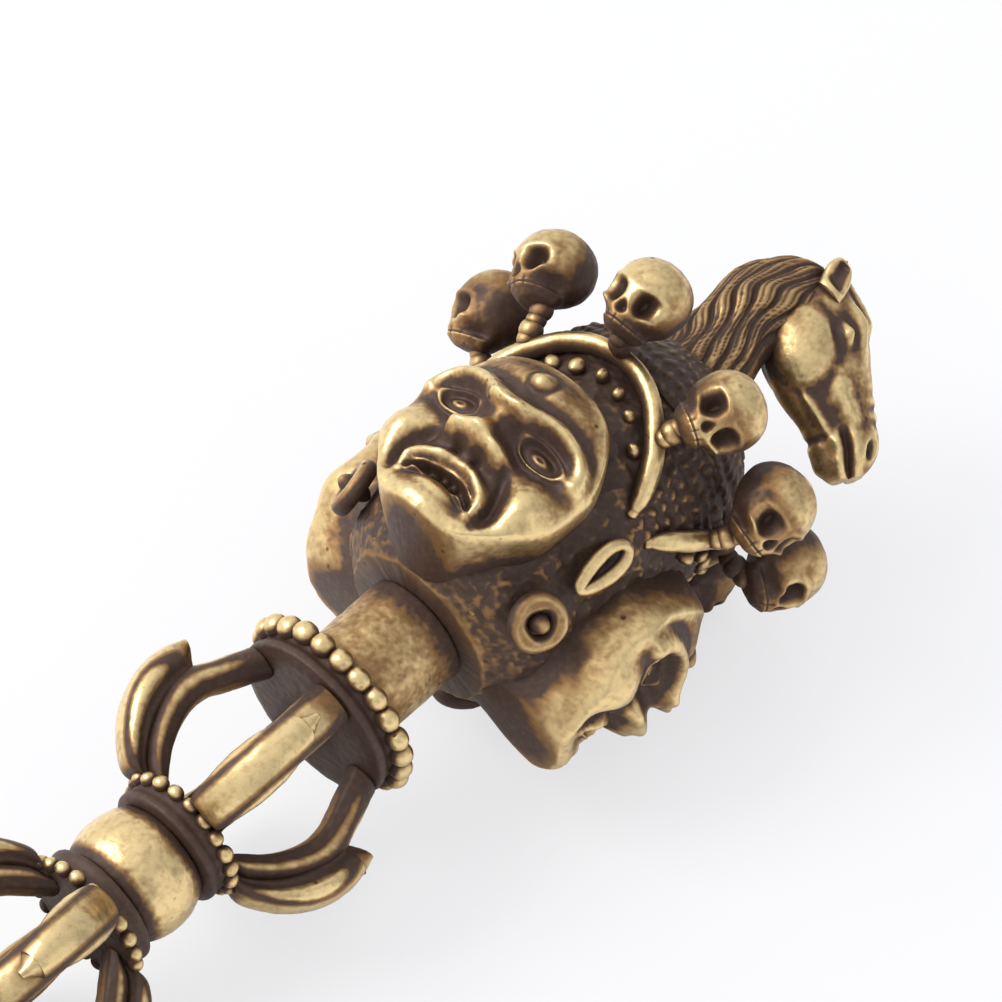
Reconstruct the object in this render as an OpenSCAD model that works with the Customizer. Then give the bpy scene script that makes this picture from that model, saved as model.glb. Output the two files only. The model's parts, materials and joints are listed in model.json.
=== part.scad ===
// A hand-held ritual dagger with a vajra grip, lying as it does when it is put down: the grip's
// axis runs along X with the horse end at +X, and one of the three masks looks up.

/* [Grip] */
// Radius of the round knob in the middle of the grip
knob_r = 3.85; // [3.2:0.05:4.6]
// Half the length of the knob between its two collars
knob_half = 2.2; // [1.8:0.05:2.8]
// Radius of the rod that threads all the pieces
rod_r = 1.3; // [0.9:0.05:1.5]
// Radius of the small collars beside the knob
knob_collar_r = 3.95; // [3.6:0.05:4.6]
// Thickness of the small collars
knob_collar_t = 1.9; // [1.5:0.05:2.4]
// Radius of the beads on the small collars
small_bead_r = 0.42; // [0.3:0.01:0.5]
// Number of beads on each small collar
small_beads = 21; // [16:1:26]
// Length of the cage of prongs
cage_len = 9.7; // [8:0.1:12]
// Largest radius of the cage over its prongs
cage_r = 8.65; // [7.6:0.1:9.6]
// Width of a prong across its back
prong_w = 3.3; // [2.2:0.1:3.6]
// Thickness of a prong where the cage is widest
prong_t = 3.8; // [2.6:0.1:3.8]
// Number of prongs round each cage
prongs = 4; // [4:1:4]
// Radius of the rim collars at the cage ends
rim_collar_r = 5.6; // [5.2:0.05:6.4]
// Thickness of the rim collars
rim_collar_t = 2.3; // [1.8:0.05:2.8]
// Radius of the beads on the rim collars
big_bead_r = 0.64; // [0.45:0.01:0.75]
// Number of beads on each rim collar
big_beads = 24; // [16:1:26]

/* [Head] */
// Radius of the plain neck
neck_r = 3.45; // [3:0.05:4.2]
// Length of the plain neck
neck_len = 6.3; // [4.5:0.1:8]
// Length of the head from the neck to the crown
head_len = 17.9; // [15:0.1:19]
// Radius of the head between its masks
head_r = 9; // [8.2:0.1:9.6]
// How far a mask stands out from the head
mask_h = 1.5; // [0.8:0.1:2]
// Half the angle that a mask takes round the head
mask_half = 41; // [38:1:46]
// Radius of the bands over the masks
band_r = 0.6; // [0.45:0.05:0.75]
// Number of pellets under each band
pellets = 7; // [5:1:9]
// Radius of the pellets
pellet_r = 0.36; // [0.25:0.01:0.45]
// Distance of the skulls from the axis
skull_ring_r = 11.2; // [10.8:0.1:12.2]
// Radius of a skull
skull_r = 2.6; // [2:0.05:2.9]
// Angle between the skulls over one mask
skull_step = 42; // [38:1:44]
// Height of the crown dome
crown_h = 4.6; // [4:0.1:7]

/* [Ears] */
// Length of an ear loop
ear_len = 4.6; // [3.6:0.1:5.4]
// Width of an ear loop
ear_w = 2.1; // [1.8:0.1:2.8]
// Thickness of the ear loop's rim
ear_t = 0.75; // [0.6:0.05:1]
// Outer radius of a ring under an ear
earring_r = 1.9; // [1.5:0.05:2.2]
// Thickness of that ring
earring_t = 1.1; // [0.7:0.05:1.2]

/* [Horse] */
// Size of the horse's head against its usual size
horse_size = 1; // [0.85:0.01:1.1]
// Direction in which the horse looks, round the axis from the top mask
horse_turn = 120; // [0:5:355]

/* [Blade] */
// Length of the boss with the three sea-beast heads
boss_len = 11; // [9:0.1:14]
// Reach of a sea-beast head from the axis
beast_r = 9; // [8:0.1:10]
// Length of the blade beyond the boss
blade_len = 33; // [26:0.5:42]
// Reach of a blade edge from the axis at the boss
blade_r = 6.2; // [5:0.1:7]
// Thickness of a blade fin at the axis
blade_t = 3.2; // [2.4:0.1:4]

/* [Fit] */
// Gap between pieces that seat on each other
gap = 0.04; // [0.02:0.01:0.08]

/* [Hidden] */
$fn = 64;
masks = 3;
mask_turn = 360 / masks;
skulls_per_mask = 3;
// The prongs stand this far round from the top mask, as they were set on the real piece
prong_turn = 30;
skull_count = masks * skulls_per_mask;
bore_r = rod_r + gap;

// Places along the axis, counted from the middle of the knob towards the horse
z_collar = knob_half + gap;
z_cage = z_collar + knob_collar_t + gap;
z_rim = z_cage + cage_len + gap;
z_neck = z_rim + rim_collar_t + gap;
z_head = z_neck + neck_len + gap;
z_crown = z_head + head_len + gap;
z_horse = z_crown + crown_h + gap;
z_boss = -(z_rim + rim_collar_t + gap);
z_blade = z_boss - boss_len - gap;
z_tip = z_blade - blade_len;
// The rod reaches this far into the head and into the boss
rod_in = 7;
// Round pegs that hold the crown in the head and the horse in the crown
crown_peg_r = 2.6;
horse_peg_r = 1.6;
peg_len = 2.2;

// Middle and half height of a mask over the neck, how far its top stops short of that under the
// band and its chin goes beyond it, and the ends, top and drop of the band
mask_mid = head_len * 0.46;
mask_tall = head_len * 0.44;
mask_gap = 2;
mask_drop = 1.5;
band_end = mask_turn / 2 - 7;
band_top = head_len - 0.5;
band_drop = head_len * 0.34;

// Middles of the skulls over the crown's foot, their lean outwards and their stalks' beads
skull_mid_up = 2.1;
skull_side_up = 0.9;
skull_lean = 24;
skull_foot = 2.75;
// The outer skulls of a mask lean this far apart
skull_fan = 18;
stalk_bead_r = 0.55;
beast_w = 3.5;
// The beasts are widest this far inside their reach
beast_brow = 1.3;
horse_tall = 12.6 * horse_size;
// Top of the horse's neck, and how far its head turns down from looking straight up
horse_poll = [0.3, 0, 9.9];
horse_nod = 125;
// Round waist of the boss, on which the beasts sit
boss_r = blade_r - 1.8;

// Lowest points of the object as it lies: two skulls near one end, two beasts near the other
skull_depth = skull_ring_r * cos(mask_turn / 2 - skull_step) + skull_r * 0.945;
skull_low_z = z_crown + skull_side_up;
beast_depth = (beast_r - beast_brow) * cos(mask_turn / 2) + beast_w * sin(mask_turn / 2) * 1.02;
beast_low_z = z_boss - 5.2;
tilt = atan((skull_depth - beast_depth) / (skull_low_z - beast_low_z));
floor_drop = skull_depth * cos(tilt) - skull_low_z * sin(tilt);
mid_x = (z_tip + z_horse + horse_tall) / 2 * cos(tilt);

// Smooth step from 0 at a to 1 at b
function ramp(a, b, x) =
  let (t = min(1, max(0, (x - a) / (b - a))))
  t * t * (3 - 2 * t);

// Round bump of height 1 centred on 0, with x and y already divided by its half widths
function bump(x, y) = exp(-(x * x + y * y));

// Value at x of straight stretches between [x, value] pairs
function along(pairs, x, i = 0) =
  i >= len(pairs) - 1 ? pairs[len(pairs) - 1][1]
  : x <= pairs[i][0] ? pairs[i][1]
  : x < pairs[i + 1][0]
    ? let (t = (x - pairs[i][0]) / (pairs[i + 1][0] - pairs[i][0]))
      pairs[i][1] + (pairs[i + 1][1] - pairs[i][1]) * t
  : along(pairs, x, i + 1);

// Middle of a list of points
function middle(p) = [for (k = [0:2]) let (v = [for (q = p) q[k]]) v * [for (q = p) 1] / len(p)];

// Closed skin over rings of points, with a fan over each end
module loft(rings) {
  n = len(rings[0]);
  m = len(rings);
  points = concat([for (ring = rings) each ring], [middle(rings[0]), middle(rings[m - 1])]);
  low = n * m;
  sides = [
    for (i = [0:m - 2], j = [0:n - 1])
      let (k = (j + 1) % n, a = i * n + j, b = i * n + k, c = a + n, d = b + n)
      each [[a, c, b], [b, c, d]]
  ];
  ends = [
    for (j = [0:n - 1])
      let (k = (j + 1) % n)
      each [[low, j, k], [low + 1, (m - 1) * n + k, (m - 1) * n + j]]
  ];
  polyhedron(points = points, faces = concat(sides, ends), convexity = 6);
}

// Value at place s, from 0 to 1, of a smooth curve through evenly spaced rows of numbers
function smooth(rows, s) =
  let (
    last = len(rows) - 1,
    x = min(last - 0.000001, max(0, s * last)),
    i = floor(x),
    t = x - i,
    a = rows[max(0, i - 1)], b = rows[i], c = rows[i + 1], d = rows[min(last, i + 2)]
  )
  b + t * 0.5 * ((c - a) + t * ((2 * a - 5 * b + 4 * c - d) + t * (3 * (b - c) + d - a)));

// Radius of the head between its masks, at height h over the neck
function head_base(h) =
  along([
    [0, neck_r + 1.2], [0.04, head_r - 2.4], [0.12, head_r - 1.6], [0.25, head_r - 1.1], [0.5, head_r - 0.8],
    [0.78, head_r - 0.7], [0.9, head_r - 1], [1, head_r - 1.5]
  ], h / head_len);

// Radius of the plain ground of a mask, which ends flat over the neck
function mask_base(h) =
  mask_h + along([
    [0, head_r - 1], [0.22, head_r - 0.4], [0.5, head_r], [0.78, head_r - 0.4], [0.9, head_r - 0.9], [1, head_r - 1.6]
  ], h / head_len);

// Relief of a mask, x mm sideways from its middle line and y mm above its middle: brows, forehead,
// eyes in their sockets, nose, cheeks and jowls, moustache, mouth and chin
function mask_relief(x, y) =
  let (
    ax = abs(x),
    brow_y = 1.24 + 1.635 * ax - 0.262 * ax * ax
  )
  1.4 * exp(-pow((y - brow_y) / 0.95, 2)) * ramp(6.2, 5, ax)
  + 0.7 * bump(ax / 3.4, (y - 5.4) / 1.7)
  - 1.1 * bump((ax - 2.75) / 1.75, (y - 1.25) / 1.25)
  + 0.9 * bump((ax - 2.8) / 1.15, (y - 1.15) / 0.95)
  + 1.1 * bump(ax / 1.1, (y - 0.8) / 1.9)
  + 1.4 * bump(ax / 1.6, (y + 0.95) / 1)
  + 1.4 * bump((ax - 4.1) / 1.7, (y + 2.8) / 2.6)
  + 0.5 * exp(-pow((y + 2.3 + 0.2 * ax * ax) / 0.8, 2)) * ramp(3, 2, ax)
  - 0.8 * exp(-pow((y + 3.8 + 0.13 * ax * ax) / 0.75, 2)) * ramp(2.6, 1.5, ax)
  + 1.5 * bump(ax / 2.3, (y + 6.2) / 1.5);

// Radius of the head at height h over the neck, p degrees round from the middle of a mask
function head_radius(h, p) =
  let (
    y = h - mask_mid,
    tall = y > 0 ? mask_tall - mask_gap : mask_tall + mask_drop,
    wide = mask_half * (1 - 0.42 * ramp(-2.5, -mask_mid, y)),
    q = pow(abs(p) / wide, 2.6) + pow(abs(y) / tall, 2.8) + 0.5 * ramp(1.5, 0, h),
    inside = ramp(1.2, 0.64, q),
    level = (y + 0.45) / (y > -0.45 ? 0.86 : 1.04)
  )
  head_base(h) + inside * (mask_base(h) - head_base(h) + mask_relief(head_r * p * PI / 180 * 1.08, level));

// Point [radius, height over the neck] on the head's outline in the plane at p, lifted off by d
function off_head(h, p, d) =
  let (
    r = head_radius(h, p),
    slope = (head_base(h + 0.2) - head_base(h - 0.2)) / 0.4,
    n = norm([1, slope])
  )
  [r + d / n, h - d * slope / n];

// Height of the middle of a mask's band over the neck, p degrees round from the mask's middle
function band_h(p) = band_top - band_drop * pow(abs(p) / band_end, 2.2);
function band_at(p) = off_head(band_h(p), p, band_r + gap);

// Puts a point [radius, height over the neck] of the head at angle a round the axis
function round_axis(rh, a) = [rh[0] * cos(a), rh[0] * sin(a), rh[1] + z_head];

// Turns a piece from its own axis to the way the object lies, resting on two skulls and on
// the two lower beasts
module lie() {
  translate([-mid_x, 0, floor_drop])
    rotate([0, -tilt, 0])
      rotate([180, 0, 0])
        rotate([0, 90, 0])
          children();
}

// Rod that threads every piece from the boss to the head, and shows in both cages
module core_rod() {
  color("darkgoldenrod")
    translate([0, 0, z_boss - rod_in])
      cylinder(r = rod_r, h = z_head + rod_in - gap - (z_boss - rod_in));
}

// Bore for the rod through a piece
module bore(from, to) {
  translate([0, 0, from - 1])
    cylinder(r = bore_r, h = to - from + 2);
}

module knob() {
  color("goldenrod")
    difference() {
      intersection() {
        sphere(r = knob_r);
        translate([0, 0, -knob_half])
          cylinder(r = knob_r + 1, h = 2 * knob_half);
      }
      bore(-knob_half, knob_half);
    }
}

// Collar from z = 0 up to t: a disc below, a waist, and a row of n beads above
module beaded_collar(r, t, bead, n) {
  bead_z = t - bead * 0.85;
  difference() {
    union() {
      rotate_extrude()
        polygon([
          [0, 0], [r * 0.82, 0], [r - bead * 0.35, t * 0.1], [r - bead * 0.35, t * 0.3],
          [r - bead * 0.75, t * 0.45], [r - bead * 0.55, t * 0.55], [r - bead * 0.55, t * 0.85],
          [r - bead * 1.2, t], [0, t]
        ]);
      for (i = [0:n - 1])
        rotate([0, 0, 360 * i / n])
          translate([r - bead * 0.1, 0, bead_z])
            sphere(r = bead, $fn = 24);
    }
    bore(0, t);
  }
}

module knob_collar() {
  color("darkgoldenrod")
    translate([0, 0, z_collar])
      beaded_collar(knob_collar_r, knob_collar_t, small_bead_r, small_beads);
}

module rim_collar() {
  color("darkgoldenrod")
    translate([0, 0, z_rim])
      beaded_collar(rim_collar_r, rim_collar_t, big_bead_r, big_beads);
}

// Section of a prong between an inner and an outer point [radius, z], w wide, with round edges
function slab(inner, outer, w) = [
  for (q = [[0, -0.5], [0.24, -1], [0.74, -1], [1, -0.45], [1, 0.45], [0.74, 1], [0.24, 1], [0, 0.5]])
    let (m = inner + (outer - inner) * q[0])
    [m[0], q[1] * w / 2, m[1]]
];

// Point on an oval round the middle of the cage: angle a from the way to the head
function oval(z_mid, r_mid, z_half, r_half, a) = [r_mid + r_half * sin(a), z_mid + z_half * cos(a)];

// One prong: a claw that ends in a hook, and under it the ring bar that reaches the rim collar
module prong() {
  z_mid = z_cage + cage_len * 0.5;
  half = cage_len * 0.5;
  bar = prong_t * 0.44;
  claw = prong_t - bar;
  inner_r = cage_r - prong_t;
  bar_w = prong_w * 0.84;
  foot_in = rod_r + 0.7;
  foot_out = knob_collar_r - 0.35;
  top_in = rim_collar_r - 2.3;
  top_out = rim_collar_r - 0.15;
  color("goldenrod")
    union() {
      loft(concat(
        [slab([foot_in, z_cage], [foot_out - 0.5, z_cage], bar_w)],
        [for (a = [142, 122, 104, 86, 68])
          slab(oval(z_mid, 0.6, half - 0.3, inner_r - 0.6, a),
               oval(z_mid, 0.6, half + bar * 0.5, inner_r + bar - 0.6, a), bar_w)],
        [slab([top_in, z_rim - gap], [top_out, z_rim - gap], bar_w)]
      ));
      loft(concat(
        [slab([foot_out - 1.3, z_cage], [foot_out, z_cage], prong_w * 0.9)],
        [for (a = [150, 134, 118, 102, 88, 78])
          let (thin = ramp(60, 110, a))
          slab(oval(z_mid, 1.2, half - 0.4 + bar * 0.5, inner_r + bar - 1.55, a),
               oval(z_mid, 1.2, half + claw * 0.65, cage_r - 1.2, a),
               prong_w * (0.6 + 0.4 * thin))],
        [slab([cage_r - 1.9, z_mid + half * 0.32], [cage_r - 0.05, z_mid + half * 0.3], prong_w * 0.52)],
        [slab([cage_r - 1.5, z_mid + half * 0.46], [cage_r - 0.3, z_mid + half * 0.5], prong_w * 0.4)]
      ));
    }
}

module neck() {
  color("darkgoldenrod")
    difference() {
      translate([0, 0, z_neck])
        cylinder(r = neck_r, h = neck_len);
      bore(z_neck, z_head);
    }
}

// Three-masked head, with a bore below for the rod and a socket above for the crown
module head() {
  columns = 25;
  rows = 34;
  color("goldenrod")
    difference() {
      loft([
        for (i = [0:rows])
          let (h = head_len * i / rows)
          [
            for (k = [0:masks - 1], j = [0:columns - 1])
              let (
                t = 2 * (j + 0.5) / columns - 1,
                p = mask_turn / 2 * t * (0.75 + 0.25 * t * t)
              )
              round_axis([head_radius(h, p), h], k * mask_turn + p)
          ]
      ]);
      translate([0, 0, z_head - 1])
        cylinder(r = bore_r, h = rod_in + 1);
      translate([0, 0, z_crown - gap - peg_len])
        cylinder(r = crown_peg_r + gap, h = peg_len + 1);
    }
}

// Dark dome that fills the ring of skulls and carries the horse
module crown() {
  foot = head_r - 1.7;
  color("saddlebrown")
    difference() {
      union() {
        translate([0, 0, z_crown])
          rotate_extrude()
            polygon([
              [0, 0], [foot, 0], [foot - 0.2, crown_h * 0.25], [foot - 0.8, crown_h * 0.5],
              [foot - 1.7, crown_h * 0.72], [foot - 2.5, crown_h * 0.86], [foot - 3.1, crown_h], [0, crown_h]
            ]);
        translate([0, 0, z_crown - peg_len + gap])
          cylinder(r = crown_peg_r, h = peg_len);
      }
      translate([0, 0, z_horse - gap - peg_len])
        cylinder(r = horse_peg_r + gap, h = peg_len + 1);
    }
}

// Arched band over one mask, with a row of pellets on its inner side
module band() {
  steps = 18;
  color("goldenrod")
    union() {
      loft([
        for (i = [0:steps])
          let (
            p = band_end * (2 * i / steps - 1),
            here = round_axis(band_at(p), p),
            ahead = round_axis(band_at(p + 0.5), p + 0.5),
            along_band = (ahead - here) / norm(ahead - here),
            out = [cos(p), sin(p), 0],
            side = cross(along_band, out) / norm(cross(along_band, out)),
            up = cross(side, along_band),
            r = band_r * (i == 0 || i == steps ? 0.5 : 1)
          )
          [for (a = [0:45:315]) here + r * (cos(a) * up + sin(a) * side)]
      ]);
      for (i = [0:pellets - 1])
        let (p = (mask_half - 8) * (2 * i / (pellets - 1) - 1), h = band_h(p) - band_r - pellet_r * 0.3)
        translate(round_axis(off_head(h, p, pellet_r + gap), p))
          sphere(r = pellet_r, $fn = 24);
    }
}

// Skull with its face outwards along +X, its middle at the origin and its jaw towards -Z
module skull_shape() {
  // Height, reach to the front, reach to the back, half width, for each level
  levels = [
    [2.3, 0.15, 0.15, 0.15], [2.05, 0.9, 1.15, 0.95], [1.3, 1.8, 2.05, 1.85], [0.4, 2.1, 2.35, 2.15],
    [-0.5, 2.15, 2.2, 1.95], [-1.1, 2.25, 1.6, 1.8], [-1.7, 2, 0.8, 1.25], [-2.3, 1.9, 0.3, 1.15],
    [-2.9, 1.4, 0.1, 0.75]
  ];
  angles = [0, 15, 30, 48, 75, 110, 150, 180, 210, 250, 285, 312, 330, 345];
  k = skull_r / 2.3;
  loft([
    for (i = [len(levels) - 1:-1:0])
      let (v = levels[i] * k)
      [
        for (a = angles)
          let (
            turn = a > 180 ? a - 360 : a,
            socket = 0.3 * bump((abs(turn) - 30) / 15, (levels[i][0] + 0.5) / 0.5),
            nose = 0.22 * bump(turn / 12, (levels[i][0] + 1.1) / 0.4),
            cheek = 0.14 * bump((abs(turn) - 75) / 20, (levels[i][0] + 1.7) / 0.4),
            c = cos(a),
            f = 1 - socket - nose - cheek
          )
          [(c > 0 ? v[1] : v[2]) * c * f, v[3] * sin(a) * f, v[0]]
      ]
  ]);
}

// Skull number i, from 1, on its beaded stalk over the band
module skull(i) {
  mask = floor((i - 1) / skulls_per_mask);
  place = (i - 1) % skulls_per_mask - 1;
  p = place * skull_step;
  up = place == 0 ? skull_mid_up : skull_side_up;
  fan = place * skull_fan;
  // The stalk stands a little nearer to the middle of the mask than its skull
  back = -fan * 0.3;
  foot = round_axis(band_at(p + back), back);
  centre = [skull_ring_r, 0, z_crown + up];
  upright = [cos(fan) * sin(skull_lean), sin(fan), cos(fan) * cos(skull_lean)];
  jaw = centre - skull_foot * skull_r / 2.3 * upright;
  reach = (jaw - foot) / norm(jaw - foot);
  start = foot + (band_r + stalk_bead_r + gap * (1 + 4 * abs(place))) * reach;
  beads = max(1, ceil(norm(jaw - start) / (stalk_bead_r * 1.6)));
  color("goldenrod")
    rotate([0, 0, mask * mask_turn + p])
      union() {
        translate(centre)
          rotate([-fan, skull_lean, 0])
            skull_shape();
        for (b = [0:beads])
          translate(start + (jaw - start) * b / beads)
            sphere(r = stalk_bead_r, $fn = 24);
      }
}

// Oval loop that stands for an ear between two masks, number i from 1
module ear(i) {
  a = (i - 0.5) * mask_turn;
  tube = ear_t / 2;
  bend = ear_w / 2 - tube;
  straight = ear_len / 2 - ear_w / 2;
  color("goldenrod")
    rotate([0, 0, a])
      translate([head_base(mask_mid + ear_len / 2) + tube + gap, 0, z_head + mask_mid + 0.2])
        rotate([0, 90, 0])
          union() {
            for (s = [0, 1])
              rotate([0, 0, 180 * s]) {
                translate([straight, 0, 0])
                  rotate([0, 0, -90])
                    rotate_extrude(angle = 180)
                      translate([bend, 0])
                        circle(r = tube, $fn = 32);
                translate([-straight, bend, 0])
                  rotate([0, 90, 0])
                    cylinder(r = tube, h = 2 * straight, $fn = 32);
              }
          }
}

// Round ring that hangs under an ear, number i from 1
module earring(i) {
  a = (i - 0.5) * mask_turn;
  tube = earring_t / 2;
  h = mask_mid - ear_len / 2 - earring_r - 0.8;
  color("goldenrod")
    rotate([0, 0, a])
      translate([head_base(h + earring_r * 0.6) + tube + gap, 0, z_head + h])
        rotate([0, 90 + 14, 0])
          rotate_extrude()
            translate([earring_r - tube, 0])
              circle(r = tube, $fn = 32);
}

// Closed skin through sections in the plane of +X and +Z. Each row holds forward place, height,
// lean of the section, half depth and half width.
module section_loft(keys, rings, points) {
  loft([
    for (i = [0:rings])
      let (k = smooth(keys, i / rings))
      [
        for (j = [0:points - 1])
          let (a = 360 * j / points, depth = k[3] * cos(a))
          [k[0] + depth * cos(k[2]), k[4] * sin(a), k[1] - depth * sin(k[2])]
      ]
  ]);
}

// Horse's neck, from its foot at the origin up to the poll
module horse_neck() {
  section_loft([
    [-0.2, 0, 0, 3.2, 2.8], [-0.4, 1.8, 3, 2.8, 2.5], [-0.5, 3.4, 9, 2.8, 2.3],
    [-0.9, 6.05, 23, 2.85, 2.2], [0.2, 8.95, 35, 2.6, 2], [0.9, 10.7, 38, 1.6, 1.2]
  ], 10, 14);
}

// Horse's head, from the poll to the muzzle. Each row holds place along the head, height of the
// section's middle over its axis, half depth and half width.
module horse_skull() {
  rows = [
    [-0.6, 0.9, 1.4, 1.3], [1, -0.1, 2.9, 2.1], [3, -0.15, 3.3, 2.45], [5, -0.2, 3.15, 2.35],
    [6.6, 0, 2.75, 1.9], [8, 0.3, 2.35, 1.55], [9.6, 0.3, 2.15, 1.55], [10.7, 0.1, 1.75, 1.35],
    [11.4, 0.1, 0.85, 0.8]
  ];
  translate(horse_poll)
    rotate([0, horse_nod - 90, 0])
      section_loft([for (r = rows) [r[0], r[1], 90, r[2], r[3]]], 16, 14);
}

module horse_ear(side) {
  hull() {
    translate([1.3, side * 1.3, 11.2])
      sphere(r = 0.95, $fn = 12);
    translate([0.6, side * 1.6, 12.4])
      sphere(r = 0.25, $fn = 8);
  }
}

module horse_head() {
  color("goldenrod")
    translate([0, 0, z_horse])
      rotate([0, 0, horse_turn])
        union() {
          scale(horse_size) {
            horse_neck();
            horse_skull();
            for (side = [-1, 1])
              horse_ear(side);
          }
          translate([0, 0, -peg_len + gap])
            cylinder(r = horse_peg_r, h = peg_len + 0.5);
        }
}

// Boss under the grip that carries the beasts and takes the blade
module boss() {
  color("darkgoldenrod")
    difference() {
      translate([0, 0, z_boss - boss_len])
        rotate_extrude()
          polygon([
            [0, 0], [boss_r - 0.2, 0], [boss_r + 0.5, boss_len * 0.03], [boss_r + 0.5, boss_len * 0.09],
            [boss_r, boss_len * 0.13], [boss_r, boss_len * 0.76], [rim_collar_r, boss_len * 0.84],
            [rim_collar_r, boss_len * 0.92], [rim_collar_r - 0.5, boss_len], [0, boss_len]
          ]);
      translate([0, 0, z_boss - rod_in - gap])
        cylinder(r = bore_r, h = rod_in + 1);
    }
}

// Three-edged blade
module blade() {
  // Share of the length, reach of an edge, radius of a valley
  keys = [[0, blade_r - 0.7, blade_t * 0.62], [0.1, blade_r, blade_t * 0.62], [1, 0.3, 0.25]];
  edge = 0.28;
  color("goldenrod")
    loft([
      for (k = [len(keys) - 1:-1:0])
        let (v = keys[k], w = min(edge, v[2] * 0.8))
        [
          for (m = [0:masks - 1], j = [0:2])
            let (a = m * mask_turn, s = (j == 0 ? -1 : 1) * w, z = z_blade - blade_len * v[0])
            j == 2
              ? [v[2] * cos(a + mask_turn / 2), v[2] * sin(a + mask_turn / 2), z]
              : [v[1] * cos(a) - s * sin(a), v[1] * sin(a) + s * cos(a), z]
        ]
    ]);
}

// Sea-beast head that looks outwards along +X, with its middle over z = 0 of the boss. It has a
// broad brow, a snout that curls towards the grip and a jaw towards the blade.
module beast_shape() {
  w = beast_w;
  union() {
    section_loft([
      [boss_r - 1.4, -4.6, 90, 2.6, w * 0.6], [boss_r + 0.8, -4.7, 90, 2.7, w * 0.75],
      [beast_r - beast_brow, -5.2, 85, 2.2, w], [beast_r - 0.7, -5.9, 60, 1.4, w * 0.72],
      [beast_r - 0.2, -5, 15, 0.9, w * 0.45], [beast_r - 0.5, -3.8, -20, 0.5, w * 0.25]
    ], 12, 12);
    section_loft([
      [boss_r - 1.4, -8, 90, 1.3, w * 0.5], [boss_r + 1, -8.3, 95, 1.15, w * 0.5],
      [boss_r + 2.4, -8.6, 100, 0.8, w * 0.42], [boss_r + 3.2, -8.8, 105, 0.35, w * 0.25]
    ], 5, 10);
    for (side = [-1, 1])
      translate([boss_r + 2.2, side * w * 0.5, -3.5])
        sphere(r = 0.8, $fn = 16);
  }
}

module beast(i) {
  color("goldenrod")
    rotate([0, 0, (i - 1) * mask_turn])
      translate([0, 0, z_boss])
        difference() {
          beast_shape();
          translate([0, 0, -boss_len])
            cylinder(r = boss_r + gap, h = boss_len + 1);
        }
}

module upper(i) {
  rotate([0, 0, prong_turn + (i - 1) * 360 / prongs])
    prong();
}

lie() core_rod();
lie() knob();
lie() knob_collar();  // knob_collar_upper
lie() mirror([0, 0, 1]) knob_collar();  // knob_collar_lower
for (i = [1:prongs]) lie() upper(i);
for (i = [1:prongs]) lie() mirror([0, 0, 1]) upper(i);
lie() rim_collar();  // rim_collar_upper
lie() mirror([0, 0, 1]) rim_collar();  // rim_collar_lower
lie() neck();
lie() head();
for (i = [1:masks]) lie() ear(i);
for (i = [1:masks]) lie() earring(i);
for (i = [1:masks]) lie() rotate([0, 0, (i - 1) * mask_turn]) band();
for (i = [1:skull_count]) lie() skull(i);
lie() crown();
lie() horse_head();
lie() boss();
for (i = [1:masks]) lie() beast(i);
lie() blade();
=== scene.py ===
"""A cast brass ritual dagger with a vajra grip, lying on a pale table.

Every new piece is worked out in the dagger's own frame, in millimetres: z runs along the axis from
the middle of the grip's knob towards the horse, x points through the upper mask, and y completes a
right-handed frame. place() carries these points to the row frame, in metres.
"""

import json
import math

import bpy
import numpy as np
from mathutils import Matrix, Vector


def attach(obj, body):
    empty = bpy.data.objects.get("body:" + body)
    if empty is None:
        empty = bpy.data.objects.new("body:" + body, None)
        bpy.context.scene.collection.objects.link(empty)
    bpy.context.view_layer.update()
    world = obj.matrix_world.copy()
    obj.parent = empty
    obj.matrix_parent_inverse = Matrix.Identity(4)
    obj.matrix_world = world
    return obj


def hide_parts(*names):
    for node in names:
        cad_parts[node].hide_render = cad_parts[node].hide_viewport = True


bl_info = {
    "name": "Brass ritual dagger",
    "version": (1, 0, 0),
    "blender": (4, 5, 0),
    "location": "3D View > Sidebar > Dagger",
    "description": "Builds the finished surfaces of a cast brass dagger round its packed solids",
    "category": "Object",
}

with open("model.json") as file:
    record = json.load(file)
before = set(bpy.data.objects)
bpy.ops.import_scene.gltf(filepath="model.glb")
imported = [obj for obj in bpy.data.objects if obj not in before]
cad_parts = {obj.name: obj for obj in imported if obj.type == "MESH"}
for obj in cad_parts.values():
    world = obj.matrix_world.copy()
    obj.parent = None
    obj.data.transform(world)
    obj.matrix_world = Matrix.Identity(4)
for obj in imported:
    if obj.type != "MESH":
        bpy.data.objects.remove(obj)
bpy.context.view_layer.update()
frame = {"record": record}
MM = 0.001
TAU = 2 * math.pi

# Sizes of the solids, in millimetres, as the part's own source has them
GAP = 0.04
KNOB_R = 3.85
KNOB_HALF = 2.2
ROD_R = 1.3
KNOB_COLLAR_R = 3.95
KNOB_COLLAR_T = 1.9
SMALL_BEAD_R = 0.42
SMALL_BEADS = 21
CAGE_LEN = 9.7
CAGE_R = 8.65
PRONG_W = 3.3
PRONG_T = 3.8
PRONGS = 4
PRONG_TURN = 30
RIM_COLLAR_R = 5.6
RIM_COLLAR_T = 2.3
BIG_BEAD_R = 0.64
BIG_BEADS = 24
NECK_R = 3.45
NECK_LEN = 6.3
HEAD_LEN = 17.9
HEAD_R = 9.0
MASK_H = 1.5
MASK_HALF = 41
BAND_R = 0.6
PELLETS = 7
PELLET_R = 0.36
SKULL_RING_R = 11.2
SKULL_R = 2.6
SKULL_STEP = 42
SKULL_MID_UP = 2.1
SKULL_SIDE_UP = 0.9
SKULL_LEAN = 24
SKULL_FOOT = 2.75
SKULL_FAN = 18
STALK_BEAD_R = 0.55
CROWN_H = 4.6
EAR_LEN = 4.6
EAR_W = 2.1
EAR_T = 0.75
EARRING_R = 1.9
EARRING_T = 1.1
HORSE_TURN = 120
HORSE_NOD = 122
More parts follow.
